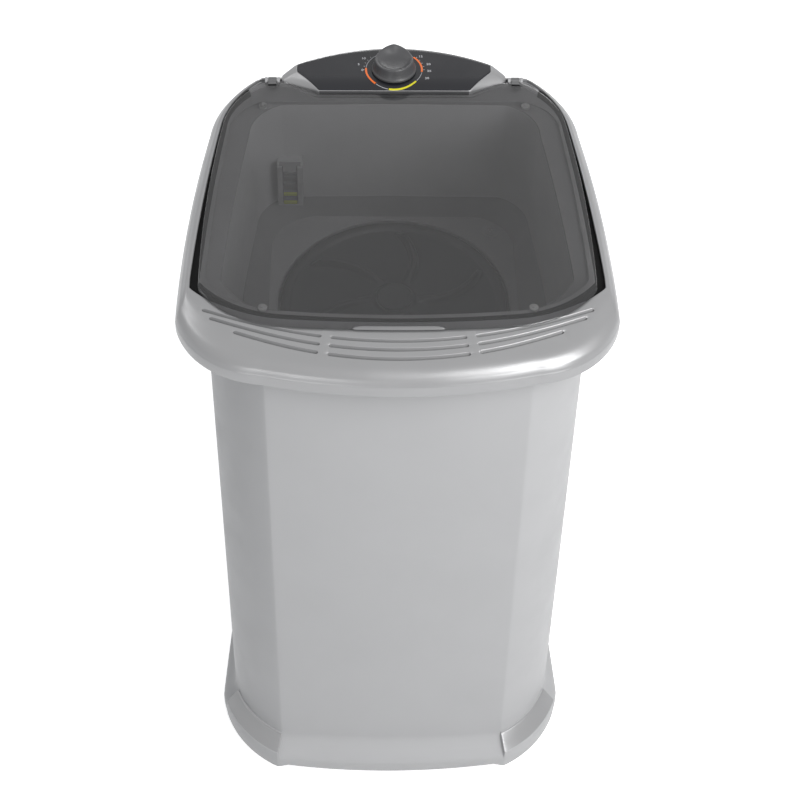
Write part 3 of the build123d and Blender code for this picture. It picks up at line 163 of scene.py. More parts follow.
# ---------------- meshes
class Shape:
    """Points and faces of one piece."""

    def __init__(self):
        self.points, self.faces, self.marks = [], [], []

    def ring(self, points):
        """Add a row of points and return their numbers."""
        start = len(self.points)
        self.points.extend(map(tuple, points))
        return list(range(start, start + len(points)))

    def skin(self, rows, around=True, shut=False, mark=0, skip=None):
        """Faces between rows of points, joined at each row's ends (around) and last to first (shut)."""
        numbered = [self.ring(row) for row in rows]
        pairs = list(zip(numbered, numbered[1:] + numbered[:1]))[:None if shut else -1]
        for r, (low, high) in enumerate(pairs):
            count = len(low)
            for c in range(count if around else count - 1):
                if skip is None or not skip(r, c):
                    d = (c + 1) % count
                    self.faces.append((low[c], low[d], high[d], high[c]))
                    self.marks.append(mark(r, c) if callable(mark) else mark)
        return numbered

    def cap(self, numbers, mark=0):
        """One face over a ring."""
        self.faces.append(tuple(numbers))
        self.marks.append(mark)

    def solid(self, rows):
        """Faces between rows of points, with a cap at each end."""
        numbers = self.skin(rows)
        self.cap(numbers[0])
        self.cap(numbers[-1])

    def build(self, name, body, materials, replaces=(), crease=32.0, bridge=False):
        """Make the Blender object and hang it on its CAD body."""
        mesh = bpy.data.meshes.new(name)
        points = [(x * MM, (y + FRONT) * MM, z * MM) for x, y, z in self.points]
        mesh.from_pydata(points, [], self.faces)
        mesh.polygons.foreach_set("material_index", self.marks)
        work = bmesh.new()
        work.from_mesh(mesh)
        bmesh.ops.remove_doubles(work, verts=work.verts, dist=2e-6)
        bmesh.ops.dissolve_degenerate(work, edges=work.edges, dist=1e-6)
        if bridge:
            bmesh.ops.bridge_loops(work, edges=[e for e in work.edges if e.is_boundary])
        bmesh.ops.recalc_face_normals(work, faces=work.faces)
        for face in work.faces:
            face.smooth = True
        for edge in work.edges:
            if len(edge.link_faces) == 2 and edge.calc_face_angle(0) > radians(crease):
                edge.smooth = False
        work.to_mesh(mesh)
        work.free()
        piece = bpy.data.objects.new(name, mesh)
        bpy.context.scene.collection.objects.link(piece)
        for material in materials:
            mesh.materials.append(material)
        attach(piece, body)
        if replaces:
            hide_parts(*replaces)
        return piece


# ---------------- materials
class Graph:
    """A material's node tree, built from short calls."""

    def __init__(self, name):
        self.material = bpy.data.materials.new(name)
        self.material.use_nodes = True
        self.tree = self.material.node_tree
        self.shader = self.tree.nodes["Principled BSDF"]
        self.output = self.tree.nodes["Material Output"]
        self.place = self.node("ShaderNodeTexCoord").outputs["Object"]

    def node(self, kind, inputs=(), **settings):
        made = self.tree.nodes.new(kind)
        for key, value in settings.items():
            setattr(made, key, value)
        for key, value in dict(inputs).items():
            if isinstance(value, bpy.types.NodeSocket):
                self.tree.links.new(value, made.inputs[key])
            else:
                made.inputs[key].default_value = value
        return made

    def noise(self, scale, detail=3.0, roughness=0.55, stretch=None):
        place = self.place
        if stretch:
            place = self.node("ShaderNodeMapping", {"Vector": place, "Scale": stretch}).outputs[0]
        return self.node("ShaderNodeTexNoise", {"Vector": place, "Scale": scale, "Detail": detail,
                                                "Roughness": roughness}).outputs["Fac"]

    def ranged(self, value, low, high, start=0.3, stop=0.7):
        return self.node("ShaderNodeMapRange", {"Value": value, "From Min": start, "From Max": stop,
                                                "To Min": low, "To Max": high}).outputs[0]

    def mixed(self, share, first, second):
        made = self.node("ShaderNodeMix", {"Factor": share}, data_type="RGBA")
        for name, value in (("A", first), ("B", second)):
            socket = next(s for s in made.inputs if s.name == name and s.type == "RGBA")
            if isinstance(value, bpy.types.NodeSocket):
                self.tree.links.new(value, socket)
            else:
                socket.default_value = (*value, 1)
        return next(s for s in made.outputs if s.type == "RGBA")

    def feed(self, socket, value):
        self.tree.links.new(value, self.shader.inputs[socket])


def shade(colour, amount):
    return tuple(min(1.0, c * amount) for c in colour)


def moulded(name, colour, rough, metal=0.0, coat=0.0, grain=700.0, depth=0.00004, mottle=0.06,
            wear=0.25, worn=None, specular=0.5, streaks=None):
    """A moulded, painted or machined surface: cloudy colour, uneven gloss, fine grain and rubbed edges."""
    g = Graph(name)
    clouds = g.ranged(g.noise(9.0, 4.0), 0.0, 1.0)
    tone = g.mixed(clouds, shade(colour, 1 - mottle), shade(colour, 1 + mottle))
    edges = g.node("ShaderNodeNewGeometry").outputs["Pointiness"]
    rubbed = g.ranged(edges, 0.0, wear, 0.515, 0.58)
    patchy = g.node("ShaderNodeMath", {0: rubbed, 1: g.ranged(g.noise(60.0, 3.0), 0.2, 1.0)},
                    operation="MULTIPLY").outputs[0]
    tone = g.mixed(patchy, tone, worn or shade(colour, 1.35))
    g.feed("Base Color", tone)
    smudges = g.ranged(g.noise(22.0, 5.0, 0.6), rough * 0.86, min(1.0, rough * 1.16))
    g.feed("Roughness", smudges)
    height = g.noise(grain, 2.0, 0.5, streaks)
    bump = g.node("ShaderNodeBump", {"Height": height, "Distance": depth, "Strength": 0.6})
    g.feed("Normal", bump.outputs[0])
    g.shader.inputs["Metallic"].default_value = metal
    g.shader.inputs["Specular IOR Level"].default_value = specular
    g.shader.inputs["Coat Weight"].default_value = coat
    g.shader.inputs["Coat Roughness"].default_value = 0.12
    return g.material


def smoked(name, tint, lamp_tint, haze):
    """The lid's top faces: clear, dark plastic that bends light, with a little haze and fine scuffs."""
    g = Graph(name)
    s = g.shader
    cloud = g.ranged(g.noise(7.0, 3.0), 0.0, 1.0)
    g.feed("Base Color", g.mixed(cloud, shade(tint, 0.94), shade(tint, 1.06)))
    g.feed("Roughness", g.ranged(g.noise(38.0, 5.0, 0.65), 0.015, 0.05))
    s.inputs["Transmission Weight"].default_value = 1.0 - haze
    s.inputs["IOR"].default_value = 1.45
    bump = g.node("ShaderNodeBump", {"Height": g.noise(5.0, 2.0), "Distance": 0.0002, "Strength": 0.25})
    g.feed("Normal", bump.outputs[0])
    lamps = g.node("ShaderNodeLightPath").outputs["Is Shadow Ray"]
    clear = g.node("ShaderNodeBsdfTransparent", {"Color": (*lamp_tint, 1)})
    mix = g.node("ShaderNodeMixShader", {0: lamps, 1: s.outputs[0], 2: clear.outputs[0]})
    g.tree.links.new(mix.outputs[0], g.output.inputs["Surface"])
    return g.material


def see_through(name, tint):
    """The lid's under faces, which only let the view pass."""
    g = Graph(name)
    tone = g.mixed(g.ranged(g.noise(7.0, 3.0), 0.0, 1.0), shade(tint, 0.97), tint)
    clear = g.node("ShaderNodeBsdfTransparent", {"Color": tone})
    g.tree.links.new(clear.outputs[0], g.output.inputs["Surface"])
    return g.material


GREY = (0.427, 0.427, 0.431)
MATERIALS = {
    "body_paint": moulded("satin_body", GREY, 0.42, grain=1100, depth=0.000015, mottle=0.012, wear=0.03,
                          specular=0.15),
    "frame_silver": moulded("silver_rim", (0.31, 0.31, 0.314), 0.33, metal=0.55, grain=150,
                            depth=0.000003, mottle=0.015, wear=0.03, worn=(0.5, 0.5, 0.5)),
    "grey_plastic": moulded("grained_grey", (0.16, 0.16, 0.165), 0.5),
    "cover_plastic": moulded("cover_grey", (0.24, 0.24, 0.245), 0.5, grain=420, depth=0.00008, mottle=0.03),
    "screw_steel": moulded("zinc_steel", (0.55, 0.55, 0.54), 0.34, metal=1.0, grain=1500),
    "foot_rubber": moulded("dark_rubber", (0.025, 0.025, 0.027), 0.75, grain=500, depth=0.00008),
    "black_plastic": moulded("grained_black", (0.02, 0.02, 0.022), 0.5, grain=500, depth=0.00008),
    "fascia_plastic": moulded("printed_panel", (0.014, 0.0145, 0.018), 0.23, grain=1300,
                              depth=0.000006, wear=0.05, mottle=0.04, specular=0.35),
    "timer_plastic": moulded("off_white", (0.55, 0.53, 0.48), 0.45),
    "shaft_steel": moulded("ground_steel", (0.35, 0.35, 0.35), 0.3, metal=1.0, grain=1800),
    "knob_plastic": moulded("knob_grey", (0.066, 0.066, 0.069), 0.38, grain=900,
                            depth=0.00002, wear=0.12, mottle=0.03),
    "tub_plastic": moulded("tub_grey", (0.62, 0.62, 0.62), 0.36, grain=260, depth=0.00004, mottle=0.03),
    "hose_rubber": moulded("hose_grey", (0.07, 0.07, 0.07), 0.6, grain=300),
    "filter_plastic": moulded("filter_grey", (0.24, 0.24, 0.24), 0.5),
    "filter_green": moulded("filter_green", (0.42, 0.46, 0.05), 0.4),
    "pulsator_plastic": moulded("pulsator_grey", (0.06, 0.06, 0.062), 0.36, grain=120, depth=0.000006,
                                wear=0.2, mottle=0.03),
    "housing_alloy": moulded("cast_alloy", (0.38, 0.38, 0.38), 0.5, metal=1.0, grain=350, depth=0.0001),
    "bush_bronze": moulded("sintered_bronze", (0.4, 0.25, 0.09), 0.45, metal=1.0, grain=1500),
    "pulley_plastic": moulded("filled_black", (0.03, 0.03, 0.03), 0.5),
    "belt_rubber": moulded("belt_black", (0.015, 0.015, 0.015), 0.7, grain=600),
    "plate_steel": moulded("pressed_steel", (0.42, 0.42, 0.42), 0.38, metal=1.0, grain=1200,
                           streaks=(1, 8, 1)),
    "motor_paint": moulded("motor_enamel", (0.1, 0.105, 0.11), 0.4, coat=0.2),
}
# Finishes of single places, pieces and prints, some of them painted shade or a painted glint
# Painted shade: near-black put in the deep gap round the lid, where only shade falls
GAP_PAINTED_SHADE = moulded("gap_painted_shade", (0.009, 0.009, 0.009), 0.7, grain=600, wear=0.0, specular=0.1)
# Painted shade: darker grey for the frame's ledge and the tub's flange under the lid's edge
LEDGE_PAINTED_SHADE = moulded("ledge_painted_shade", (0.27, 0.27, 0.27), 0.45, grain=600)
# Painted shade: darker grey for the tub's lower bowl, and for the drain grate in it
BOWL_PAINTED_SHADE = moulded("bowl_painted_shade", (0.38, 0.38, 0.38), 0.4, grain=260, mottle=0.03)
# Painted shade: dark grey on the pod's wall in the gap behind the lid's rear edge
POD_WALL_PAINTED_SHADE = moulded("pod_wall_painted_shade", (0.085, 0.085, 0.087), 0.5, grain=900, wear=0.0, specular=0.1)
KNUCKLE_DARK = moulded("smoked_solid", (0.12, 0.12, 0.122), 0.35, grain=900)
BRACKET_GREY = moulded("bracket_grey", (0.36, 0.36, 0.365), 0.4, grain=900)
# Painted glint: the lid's rubber bumpers are a light grey to stand in for their glints
BUMPER_PAINTED_GLINT = moulded("bumper_painted_glint", (0.5, 0.5, 0.49), 0.4)
BLADE_GREY = moulded("blade_grey", (0.18, 0.18, 0.182), 0.5, grain=400)
CHANNEL_GREY = moulded("channel_grey", (0.46, 0.46, 0.46), 0.4, grain=260)
LID_TOP = smoked("smoked_top", (0.19, 0.19, 0.194), (0.4, 0.4, 0.41), 0.1)
LID_UNDER = see_through("smoked_under", (0.97, 0.97, 0.97))
MATERIALS["smoked_glass"] = LID_TOP
GRIP = moulded("grip_grey", (0.2, 0.2, 0.202), 0.3, grain=900)
PRINT_WHITE = moulded("print_white", (0.5, 0.5, 0.52), 0.45, wear=0.0)
PRINT_ORANGE = moulded("print_orange", (0.85, 0.16, 0.015), 0.42, wear=0.0)
PRINT_YELLOW = moulded("print_yellow", (0.72, 0.66, 0.02), 0.42, wear=0.0)


def of(slot):
    return MATERIALS[slot]


# ---------------- plans, as in the CAD
RIM = Plan(0, (150, 18), (212, 45), (245, 100), (239.7, 245), (222, 405), (208, 455), (160, 506), 510)
BODY = Plan(25, (147, 33), (187, 67), (212, 120), (202, 270), (188, 420), (176, 464), (140, 482), 484)
SKIRT = Plan(4, (153, 11.5), (203, 54), (230, 118), (220, 270), (206, 430), (193, 478), (152, 496), 498)
LIP = Plan(64, (125, 68.5), (182, 87), (220, 125), (218.5, 245), (204.5, 405), (187, 452),
           (158, 481), 481.5)
RECESS = Plan(76, (130, 81.5), (185, 98), (230, 131), (223.5, 245), (206.6, 407), (190.8, 455),
              (163, 492.5), 494)
OPENING = Plan(90, (125, 96), (178, 112), (212, 145), (207, 260), (196, 395), (184, 432), (155, 450), 452)
COLLAR = Plan(92, (124, 97), (168, 114), (196, 150), (187, 270), (173, 395), (162, 430), (135, 450), 452)
BOWL_TOP = Plan(100, (115, 106), (161, 120), (191, 155), (182, 275), (168, 395), (158, 428),
                (132, 448), 450)
BOWL_FLOOR = Plan(152, (90, 153), (133, 168), (151, 215), (152, 300), (151, 385), (136, 430),
                  (95, 448), 448)


# ---------------- cabinet
# Stretches of columns that a corner foot covers, and where the bow of the front's lower edge ends
BOOTS = ((1.0, 1.83), (3.17, 4.0))
BOW_END = 0.909
# Half the width of the back cover's opening and of the rear wall, and the opening's lower and upper end
COVER_HALF, REAR_HALF = 118, 140
COVER_LOW, COVER_HIGH = 149, 399
# Height and share of the way out to the skirt, for the feet and for the panels between them
FOOT = [(1.5, 0.93), (2.4, 0.985), (4, 1.0), (18, 1.0), (34.2, 1.0), (35.0, 0.99), (35.7, 0.955),
        (43.5, 0.61), (53.0, 0.19), (53.6, 0.15), (53.9, 0.09), (54.0, 0.02), (55, 0.0), (57, 0.0)]
PANEL = [(6.0, 0.94), (6.6, 0.985), (8, 1.0), (15, 1.0), (20, 0.99), (23, 0.95), (26.5, 0.86),
         (31, 0.68), (36, 0.45), (41, 0.24), (46, 0.10), (50, 0.03), (54, 0.005), (57, 0.0)]
# Rows of the feet's slanting facets
FACETS = range(6, 10)
TRUNK_LEVELS = [60, 75, 100, 150, 200, 275, 350, 400, 460, 540, 620, 700, 745, 762.8, 764]


def cabinet_columns():
    extra = [BOW_END, 0.94, 0.97, 0.985, 1.012, 1.03, 1.06, 3.96, 3.985, 4.03,
             4.0 + (1 - COVER_HALF / REAR_HALF)]
    for start, stop in BOOTS:
        extra += [start - 0.004, start, stop, stop + 0.004]
    return spread((22, 20, 22, 16, 10), extra)


def cabinet_face(thickness, columns, booted, bow):
    """Rows of the cabinet's outside, or of its inside when drawn in by a thickness."""
    trunk = loop(BODY.inset(*[thickness] * 3).parts(), columns, 1.3)
    hem = loop(SKIRT.inset(*[thickness] * 3).parts(), columns, 2.0)
    rows = []
    for (foot_z, foot_share), (panel_z, panel_share) in zip(FOOT, PANEL):
        share = np.where(booted, foot_share, panel_share)[:, None]
        height = np.where(booted, foot_z, panel_z + bow * max(0.0, 15 - panel_z) / 9)
        rows.append(raised(trunk * (1 - share) + hem * share, height))
    return rows + [raised(trunk, z) for z in TRUNK_LEVELS]


def make_cabinet():
    columns = cabinet_columns()
    booted = both_sides(np.any([(columns > start - 0.001) & (columns < stop + 0.001)
                                for start, stop in BOOTS], 0))
    # The front panel's lower edge is bowed down between the feet
    bow = np.where(columns <= BOW_END, 6.5 * (columns / BOW_END) ** 2 - 4.0,
                   2.5 - 7.0 * (columns - BOW_END) / 0.091)
    bow = both_sides(np.where(columns < 1.0, bow, 0.0))
    outer = cabinet_face(0.0, columns, booted, bow)
    inner = cabinet_face(CABINET_WALL, columns, booted, bow)
    count = len(outer)
    top = outer[-1]

    def opening(row, column):
        """The rear wall is open behind the back cover."""
        height = outer[min(row, 2 * count - 2 - row, count - 1)][0, 2]
        after = (column + 1) % len(booted)
        inside = max(abs(top[column, 0]), abs(top[after, 0])) < COVER_HALF + 0.8 and top[column, 1] > 480
        return inside and COVER_LOW < height < COVER_HIGH

    def bright(row, column):
        """The slanting facets of the feet have a glossier finish."""
        return 1 if row in FACETS and booted[column] and booted[(column + 1) % len(booted)] else 0

    shape = Shape()
    shape.skin(outer + inner[::-1], shut=True, mark=bright, skip=opening)
    shape.build("cabinet_shell", "machine", [of("body_paint"), of("frame_silver")],
                ["cabinet"], 24, True)


# ---------------- top frame
# Louvre slots: each row's depth at the centre, its fall towards the corners, and where it ends
SLOTS = ((27.0, 23.0, 176.0), (38.5, 21.5, 204.0), (50.0, 20.0, 214.0))
SLOT_REACH = 139.0
SLOT_HALF = 2.1
# Distances from the centre line at which the middle run of slots ends and the outer ones start
MIDDLE_END, OUTER_START = 74.0, 84.0
# The least share of its width that a slot keeps at its rounded ends, and the ends' columns
SLOT_LEAST = 0.42
ROUNDING = (0.0, 0.4, 1.0, 2.1)
# All slots lie ahead of this line and within this distance of the centre line
SLOTS_BACK, SLOTS_SIDE = 150, 217
# Rows of the band at the near and far edges of the slots
NEAR_EDGES, FAR_EDGES = (2, 6, 10), (3, 7, 11)
# Places across the band to which the slots' rows drift where there are no slots
EVEN = (0.2, 0.5, 0.8)
# The painted shade in the gap round the lid and on the ledge under it stops at this line; behind it the
# frame keeps its colour
BEHIND_LID = 474
# The rim's rounded shoulder: height, and distance in from the edge at the front, the sides and the rear
ROLL = [(775.4, 0.8, 0.45, 0.5), (779.2, 2.4, 1.2, 1.4), (783.2, 5.2, 2.6, 3.0),
        (788, 13, 5, 6), (791, 24, 7.5, 8), (792.7, 34, 9, 9)]


def slot_runs(end):
    """The stretches in which a slot is open, as distances from the centre line."""
    return (-1.0, MIDDLE_END), (OUTER_START, end)


def slot_opening(x, end):
    """How far a slot is open at a distance from the centre line, from 0 to 1, with rounded ends."""
    for low, high in slot_runs(end):
        if low - 0.02 <= x <= high + 0.02:
            near = min(high - x, x - low if low > 0 else SLOT_HALF, SLOT_HALF) / SLOT_HALF
            near = max(0.0, near)
            return max(SLOT_LEAST, (near * (2 - near)) ** 0.5)
    return 0.0


def slot_places(front, rear):
    """Where the slots cross a line over the band: middle, half width and soft edge, as shares of it."""
    across = rear - front
    places = []
    for back, fall, _ in SLOTS:
        t = 0.5
        for _ in range(30):
            x, y = front + across * t
            slope = 2 * fall * x / SLOT_REACH ** 2
            along = across[1] - slope * across[0]
            t += (back + fall * (x / SLOT_REACH) ** 2 - y) / along
        width = abs(along) / hypot(1, slope)
        places.append((t, SLOT_HALF / width, 0.4 / width))
    return places


def frame_columns(inner_plan, outer_plan):
    """Columns of the top frame, with closer ones at the slots' ends."""
    probe = np.linspace(0, 2, 1601)
    inner, outer = (loop(plan.parts(), np.append(probe, 5.0), 2.5)[:len(probe), 0]
                    for plan in (inner_plan, outer_plan))
    middle = (inner + outer) / 2
    extra = [float(np.interp((MIDDLE_END + OUTER_START) / 2, middle, probe))]
    for x, way in [(MIDDLE_END, -1), (OUTER_START, 1)] + [(end, -1) for _, _, end in SLOTS]:
        extra += [float(np.interp(x + way * step, middle, probe)) for step in ROUNDING]
    return spread((30, 34, 18, 14, 8), extra)


def band_marks(brow, crest, spans, right):
    """For each column, the shares of the band's width at which its rows lie, and how far each drops."""
    places, gates = [], []
    for j in range(right):
        ahead = crest[j, 1] < SLOTS_BACK
        gates.append([slot_opening(spans[j], end) if ahead else 0.0 for _, _, end in SLOTS])
        slotted = ahead and spans[j] <= SLOTS_SIDE
        places.append(slot_places(brow[j], crest[j]) if slotted else places[-1])
    last = max(j for j in range(right) if gates[j][2] > 0)
    marks, drops = [], []
    for j in range(right):
        drift = min(1.0, max(0, j - last) / 14)
        stops, falls = [0.0], [0.0]
        for k, (t, half, soft) in enumerate(places[min(j, last)]):
            t = t * (1 - drift) + EVEN[k] * drift
            open_half = half * (gates[j][k] or SLOT_LEAST) * (1 - 0.3 * drift)
            stops += [t - open_half - soft, t - open_half, t + open_half, t + open_half + soft]
            fall = 0.35 if gates[j][k] > 0 else 0.0
            falls += [0.0, fall, fall, 0.0]
        marks.append(stops + [0.5 * (stops[-1] + 1), 1.0])
        drops.append(falls + [0.0, 0.0])
    return both_sides(np.array(marks)), both_sides(np.array(drops))


def band_rows(brow, crest, marks, drops, outside_recess):
    """Rows of the slotted band, on top and underneath."""
    top, under = [], []
    last = marks.shape[1] - 1
    for k in range(last + 1):
        t = marks[:, k][:, None]
        place = brow * (1 - t) + crest * t
        z = 791 + 5 * np.sin(pi / 2 * np.minimum(1, marks[:, k] / 0.77))
        top.append(raised(place, z - drops[:, k]))
        if k in FAR_EDGES:
            # The far wall of each slot slants forward, like a blade
            t = t - 0.62 * (t - marks[:, k - 1][:, None])
            place = brow * (1 - t) + crest * t
        under.append(raised(outside_recess if k == last else place, z - FRAME_WALL))
    return top, under


def slot_walls(shape, band_top, band_under, is_open, total):
    """The four walls of every slot."""
    for k in NEAR_EDGES:
        cells = [c for c in range(total) if is_open(k, c)]
        top_near, top_far = band_top[k], band_top[k + 1]
        low_near, low_far = band_under[k], band_under[k + 1]
        for c in cells:
            d = (c + 1) % total
            for upper, lower in ((top_near, low_near), (top_far, low_far)):
                shape.skin([[upper[c], upper[d]], [lower[c], lower[d]]], around=False, mark=3)
            for side, beyond in ((c, (c - 1) % total), (d, d)):
                if beyond not in cells:
                    shape.skin([[top_near[side], top_far[side]], [low_near[side], low_far[side]]],
                               around=False, mark=3)


def make_top_frame():
    inner_plan, outer_plan = RECESS.inset(-0.6, -0.6, -0.6), RIM.inset(24, 7.5, 8)
    columns = frame_columns(inner_plan, outer_plan)
    crest = loop(inner_plan.parts(), columns, 2.5)
    brow = loop(outer_plan.parts(), columns, 2.5)
    spans = np.abs(brow[:, 0] + crest[:, 0]) / 2
    total = len(crest)
    marks, drops = band_marks(brow, crest, spans, len(columns))
    outside_recess = loop(RECESS.inset(-3, -3, -3).parts(), columns, 2.5)
    band_top, band_under = band_rows(brow, crest, marks, drops, outside_recess)
    rows = []

    def ring(plan, inset, z):
        rows.append(raised(loop(plan.inset(*inset).parts(), columns, 2.5), z))

    for inset, z in ((3, 764), (3, 760.5), (2.4, 760), (0.7, 760), (0.1, 760.5), (0, 761.5),
                     (0, 768), (0, 773.6)):
        ring(RIM, (inset, inset, inset), z)
    ring(RIM, (0.25, 0.2, 0.2), 774.6)
    roll = eased(ROLL, 4)[:17]
    for z, ahead, beside, behind in roll[:-1]:
        ring(RIM, (ahead, beside, behind), z)
    first_band = len(rows)
    rows += band_top
    ring(RECESS, (0, 0, 0), 795.3)
    # Painted shade: towards the rear only the wall's lower part is painted black
    wall = loop(RECESS.parts(), columns, 2.5)
    rows.append(raised(wall, 795.2 - 3.2 * np.clip((wall[:, 1] - 150) / 230, 0, 1)))
    wall_row = len(rows)
    ring(RECESS, (0, 0, 0), 791.5)
    ring(RECESS, (0.6, 0.6, 0.6), 791)
    ledge_row = len(rows)
    # A row between the recess and the opening, at a share of the way that differs round the outline
    share = both_sides(np.interp(columns, [0, 1, 2, 3, 4, 5], [0.55, 0.6, 0.62, 0.6, 0.5, 0.3]))[:, None]
    hole = loop(OPENING.parts(), columns, 2.5)
    rows.append(raised(rows[-1][:, :2] * (1 - share) + hole * share, 791))
    for inset, z in ((-0.9, 791), (-0.1, 790.4), (0, 788.5), (-0.6, 788)):
        ring(OPENING, (inset, inset, inset), z)
    ledge_end = len(rows)
    rows.append(raised(outside_recess, 788))
    under_first = len(rows)
    rows += band_under[::-1]
    for z, ahead, beside, behind in roll[-2::-2]:
        if z > 777:
            ring(RIM, (ahead + 3, beside + 3, behind + 3), z - FRAME_WALL)
    ring(RIM, (3, 3, 3), 767)
    ring(BODY, (12, 12, 12), 767)
    ring(BODY, (12, 12, 12), 764)
    band_count = len(band_top)

    def is_open(k, column):
        """Whether a slot is open in a cell of the band."""
        after = (column + 1) % total
        if k not in NEAR_EDGES or max(crest[column, 1], crest[after, 1]) > SLOTS_BACK:
            return False
        near, far = sorted((spans[column], spans[after]))
        runs = slot_runs(SLOTS[NEAR_EDGES.index(k)][2])
        return any(low - 0.02 <= near and far <= high + 0.02 for low, high in runs)

    def open_cell(row, column):
        if first_band <= row < first_band + band_count - 1:
            return is_open(row - first_band, column)
        if under_first <= row < under_first + band_count - 1:
            return is_open(band_count - 2 - (row - under_first), column)
        return False

    def dark(row, column):
        """Painted shade: the gap round the lid is painted black and the ledge under it darker grey, except
        behind the lid.
        """
        if row < wall_row - 1 or row > ledge_end:
            return 0
        if row <= ledge_row and min(wall[column, 1], wall[(column + 1) % total, 1]) > BEHIND_LID:
            return 0
        return 1 if row < ledge_row else 2

    shape = Shape()
    shape.skin(rows, shut=True, skip=open_cell, mark=dark)
    slot_walls(shape, band_top, band_under, is_open, total)
    shape.build("top_frame_shell", "machine",
                [of("frame_silver"), GAP_PAINTED_SHADE, LEDGE_PAINTED_SHADE, BLADE_GREY], ["top_frame"], 30)


# ---------------- control pod and fascia
def pod_parts(corner_x, cheek_back, corner_back, inset, cut=None, ahead=None):
    """The pod's half outline: straight front, slanting cheek, corner and the large rear arc."""
    half_front, left = 92 - 0.4 * inset, corner_x - inset
    cheek, lead = cheek_back + 0.5 * inset, POD_LEAD + (inset if ahead is None else ahead)
    rear = 540 - inset
    parts = [line((0, lead), (half_front, lead)),
             line((half_front, lead), (left, cheek)), line((left, cheek), (left, corner_back)),
             arc((left, corner_back), (0, rear), (-left, corner_back), 0.0, 0.5)]
    if cut:
        for part in parts:
            part[:, 1] = np.maximum(part[:, 1], cut)
    return parts


def stooped(rows):
    """The pod's rows with its front edge curved down to the lid."""
    made = []
    for row in rows:
        row = np.array(row, float)
        drop = 4.0 * (np.clip(483 - row[:, 1], 0, 21) / 21) ** 2
        row[:, 2] -= drop * np.clip((row[:, 2] - 798) / 8, 0, 1)
        made.append(row)
    return made


# The pod's corner at its foot and at its top: side, where the cheek ends, and where the rear arc starts
POD_BASE = (137, 488, 499)
POD_TOP = (120, 493, 507)
POD_COLUMNS = spread((16, 8, 4, 40),
                     [0.96, 0.985, 1.015, 1.04, 1.95, 1.98, 2.03, 2.3, 2.7, 2.97, 3.006, 3.015])


def pod_loop(corner, inset, cut=None, ahead=None):
    return loop(pod_parts(*corner, inset, cut, ahead), POD_COLUMNS, 1.0)


def make_pod():
    low = pod_loop(POD_BASE, 0)
    top = pod_loop(POD_TOP, 0)
    # Under the rim the pod starts behind the cabinet: inset, where it is cut off, and height
    foot = ((3.1, 489.0, 786), (3, 489.0, 748.4), (2.5, 488.6, 748), (0.7, 487, 748),
            (0.1, 486.6, 748.4), (0, 486.5, 749.2), (0, 486.5, 767))
    rows = [raised(pod_loop(POD_BASE, inset, cut), z) for inset, cut, z in foot]
    rows += [raised(low, z) for z in (767, 780, 795.0)]
    shoulder = len(rows)
    for share, z in ((0.03, 796.0), (0.12, 797.1), (0.5, 801), (0.9, 805.0)):
        rows.append(raised(low * (1 - share) + top * share, z))
    for inset, ahead, z in ((0.25, 0.15, FACE_Z - 0.4), (0.8, 0.35, FACE_Z), (1.6, 0.7, FACE_Z),
                            (2.0, 0.9, FACE_Z - 0.4), (2.0, 0.9, FACE_Z - 2.5)):
        rows.append(raised(pod_loop(POD_TOP, inset, ahead=ahead), z))
    places = both_sides(POD_COLUMNS)

    def front_wall_shade(row, column):
        """The wall behind the lid's rear edge is painted dark grey as shade."""
        flat = max(places[column], places[(column + 1) % len(places)]) < 0.99
        return 1 if flat and shoulder - 5 <= row < shoulder + 4 else 0

    shape = Shape()
    numbers = shape.skin(stooped(rows), mark=front_wall_shade)
    shape.cap(numbers[-1])
    shape.cap(numbers[0])
    shape.build("control_pod", "machine", [of("frame_silver"), POD_WALL_PAINTED_SHADE],
                ["top_frame"], 30)


def make_fascia():
    rows = [raised(pod_loop(POD_TOP, inset, ahead=inset - 1.2), z) for inset, z in
            ((2.2, FACE_Z - 2.5), (2.2, FACE_Z - 0.9), (2.35, FACE_Z - 0.4), (2.7, FACE_Z - 0.1),
             (3.2, FACE_Z))]
    for inset, ahead in ((6, 4), (9, 7), (12, 11), (15, 16), (18, 22)):
        rows.append(raised(pod_loop(POD_TOP, inset, ahead=ahead), FACE_Z))
    shape = Shape()
    shape.solid(stooped(rows))
    shape.build("fascia_panel", "machine", [of("fascia_plastic")], ["fascia"], 40)


def band(shape, radius_in, radius_out, start, stop, low, high, step=2.0):
    """A flat curved bar round the dial, between two angles in degrees."""
    count = max(2, int(abs(stop - start) / step))
    closed = abs(stop - start) >= 359.9
    angles = np.radians(np.linspace(start, stop, count + 1))
    if closed:
        angles = angles[:-1]
    rows = []
    for radius, z in ((radius_in, low), (radius_out, low), (radius_out, high), (radius_in, high)):
        rows.append(np.column_stack([radius * np.cos(angles), DIAL_BACK + radius * np.sin(angles),
                                     np.full(len(angles), z)]))
    numbers = shape.skin(stooped(rows), around=closed, shut=True)
    if not closed:
        for side in (0, -1):
            shape.cap([row[side] for row in numbers])


def make_number(place, text, x, back):
    """A plain number printed beside the dial."""
    curve = bpy.data.curves.new("digits", "FONT")
    curve.body, curve.size, curve.extrude = text, 0.0052, 0.0001
    curve.align_x, curve.align_y, curve.offset = "CENTER", "CENTER", 0.00006
    holder = bpy.data.objects.new("digits", curve)
    mesh = bpy.data.meshes.new_from_object(holder)
    bpy.data.objects.remove(holder)
    mesh.transform(Matrix.Translation((x * MM, (back + FRONT) * MM, (FACE_Z + 0.08) * MM)))
    mesh.materials.clear()
    mesh.materials.append(PRINT_WHITE)
    piece = bpy.data.objects.new("dial_number_%d" % place, mesh)
    bpy.context.scene.collection.objects.link(piece)
    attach(piece, "machine")


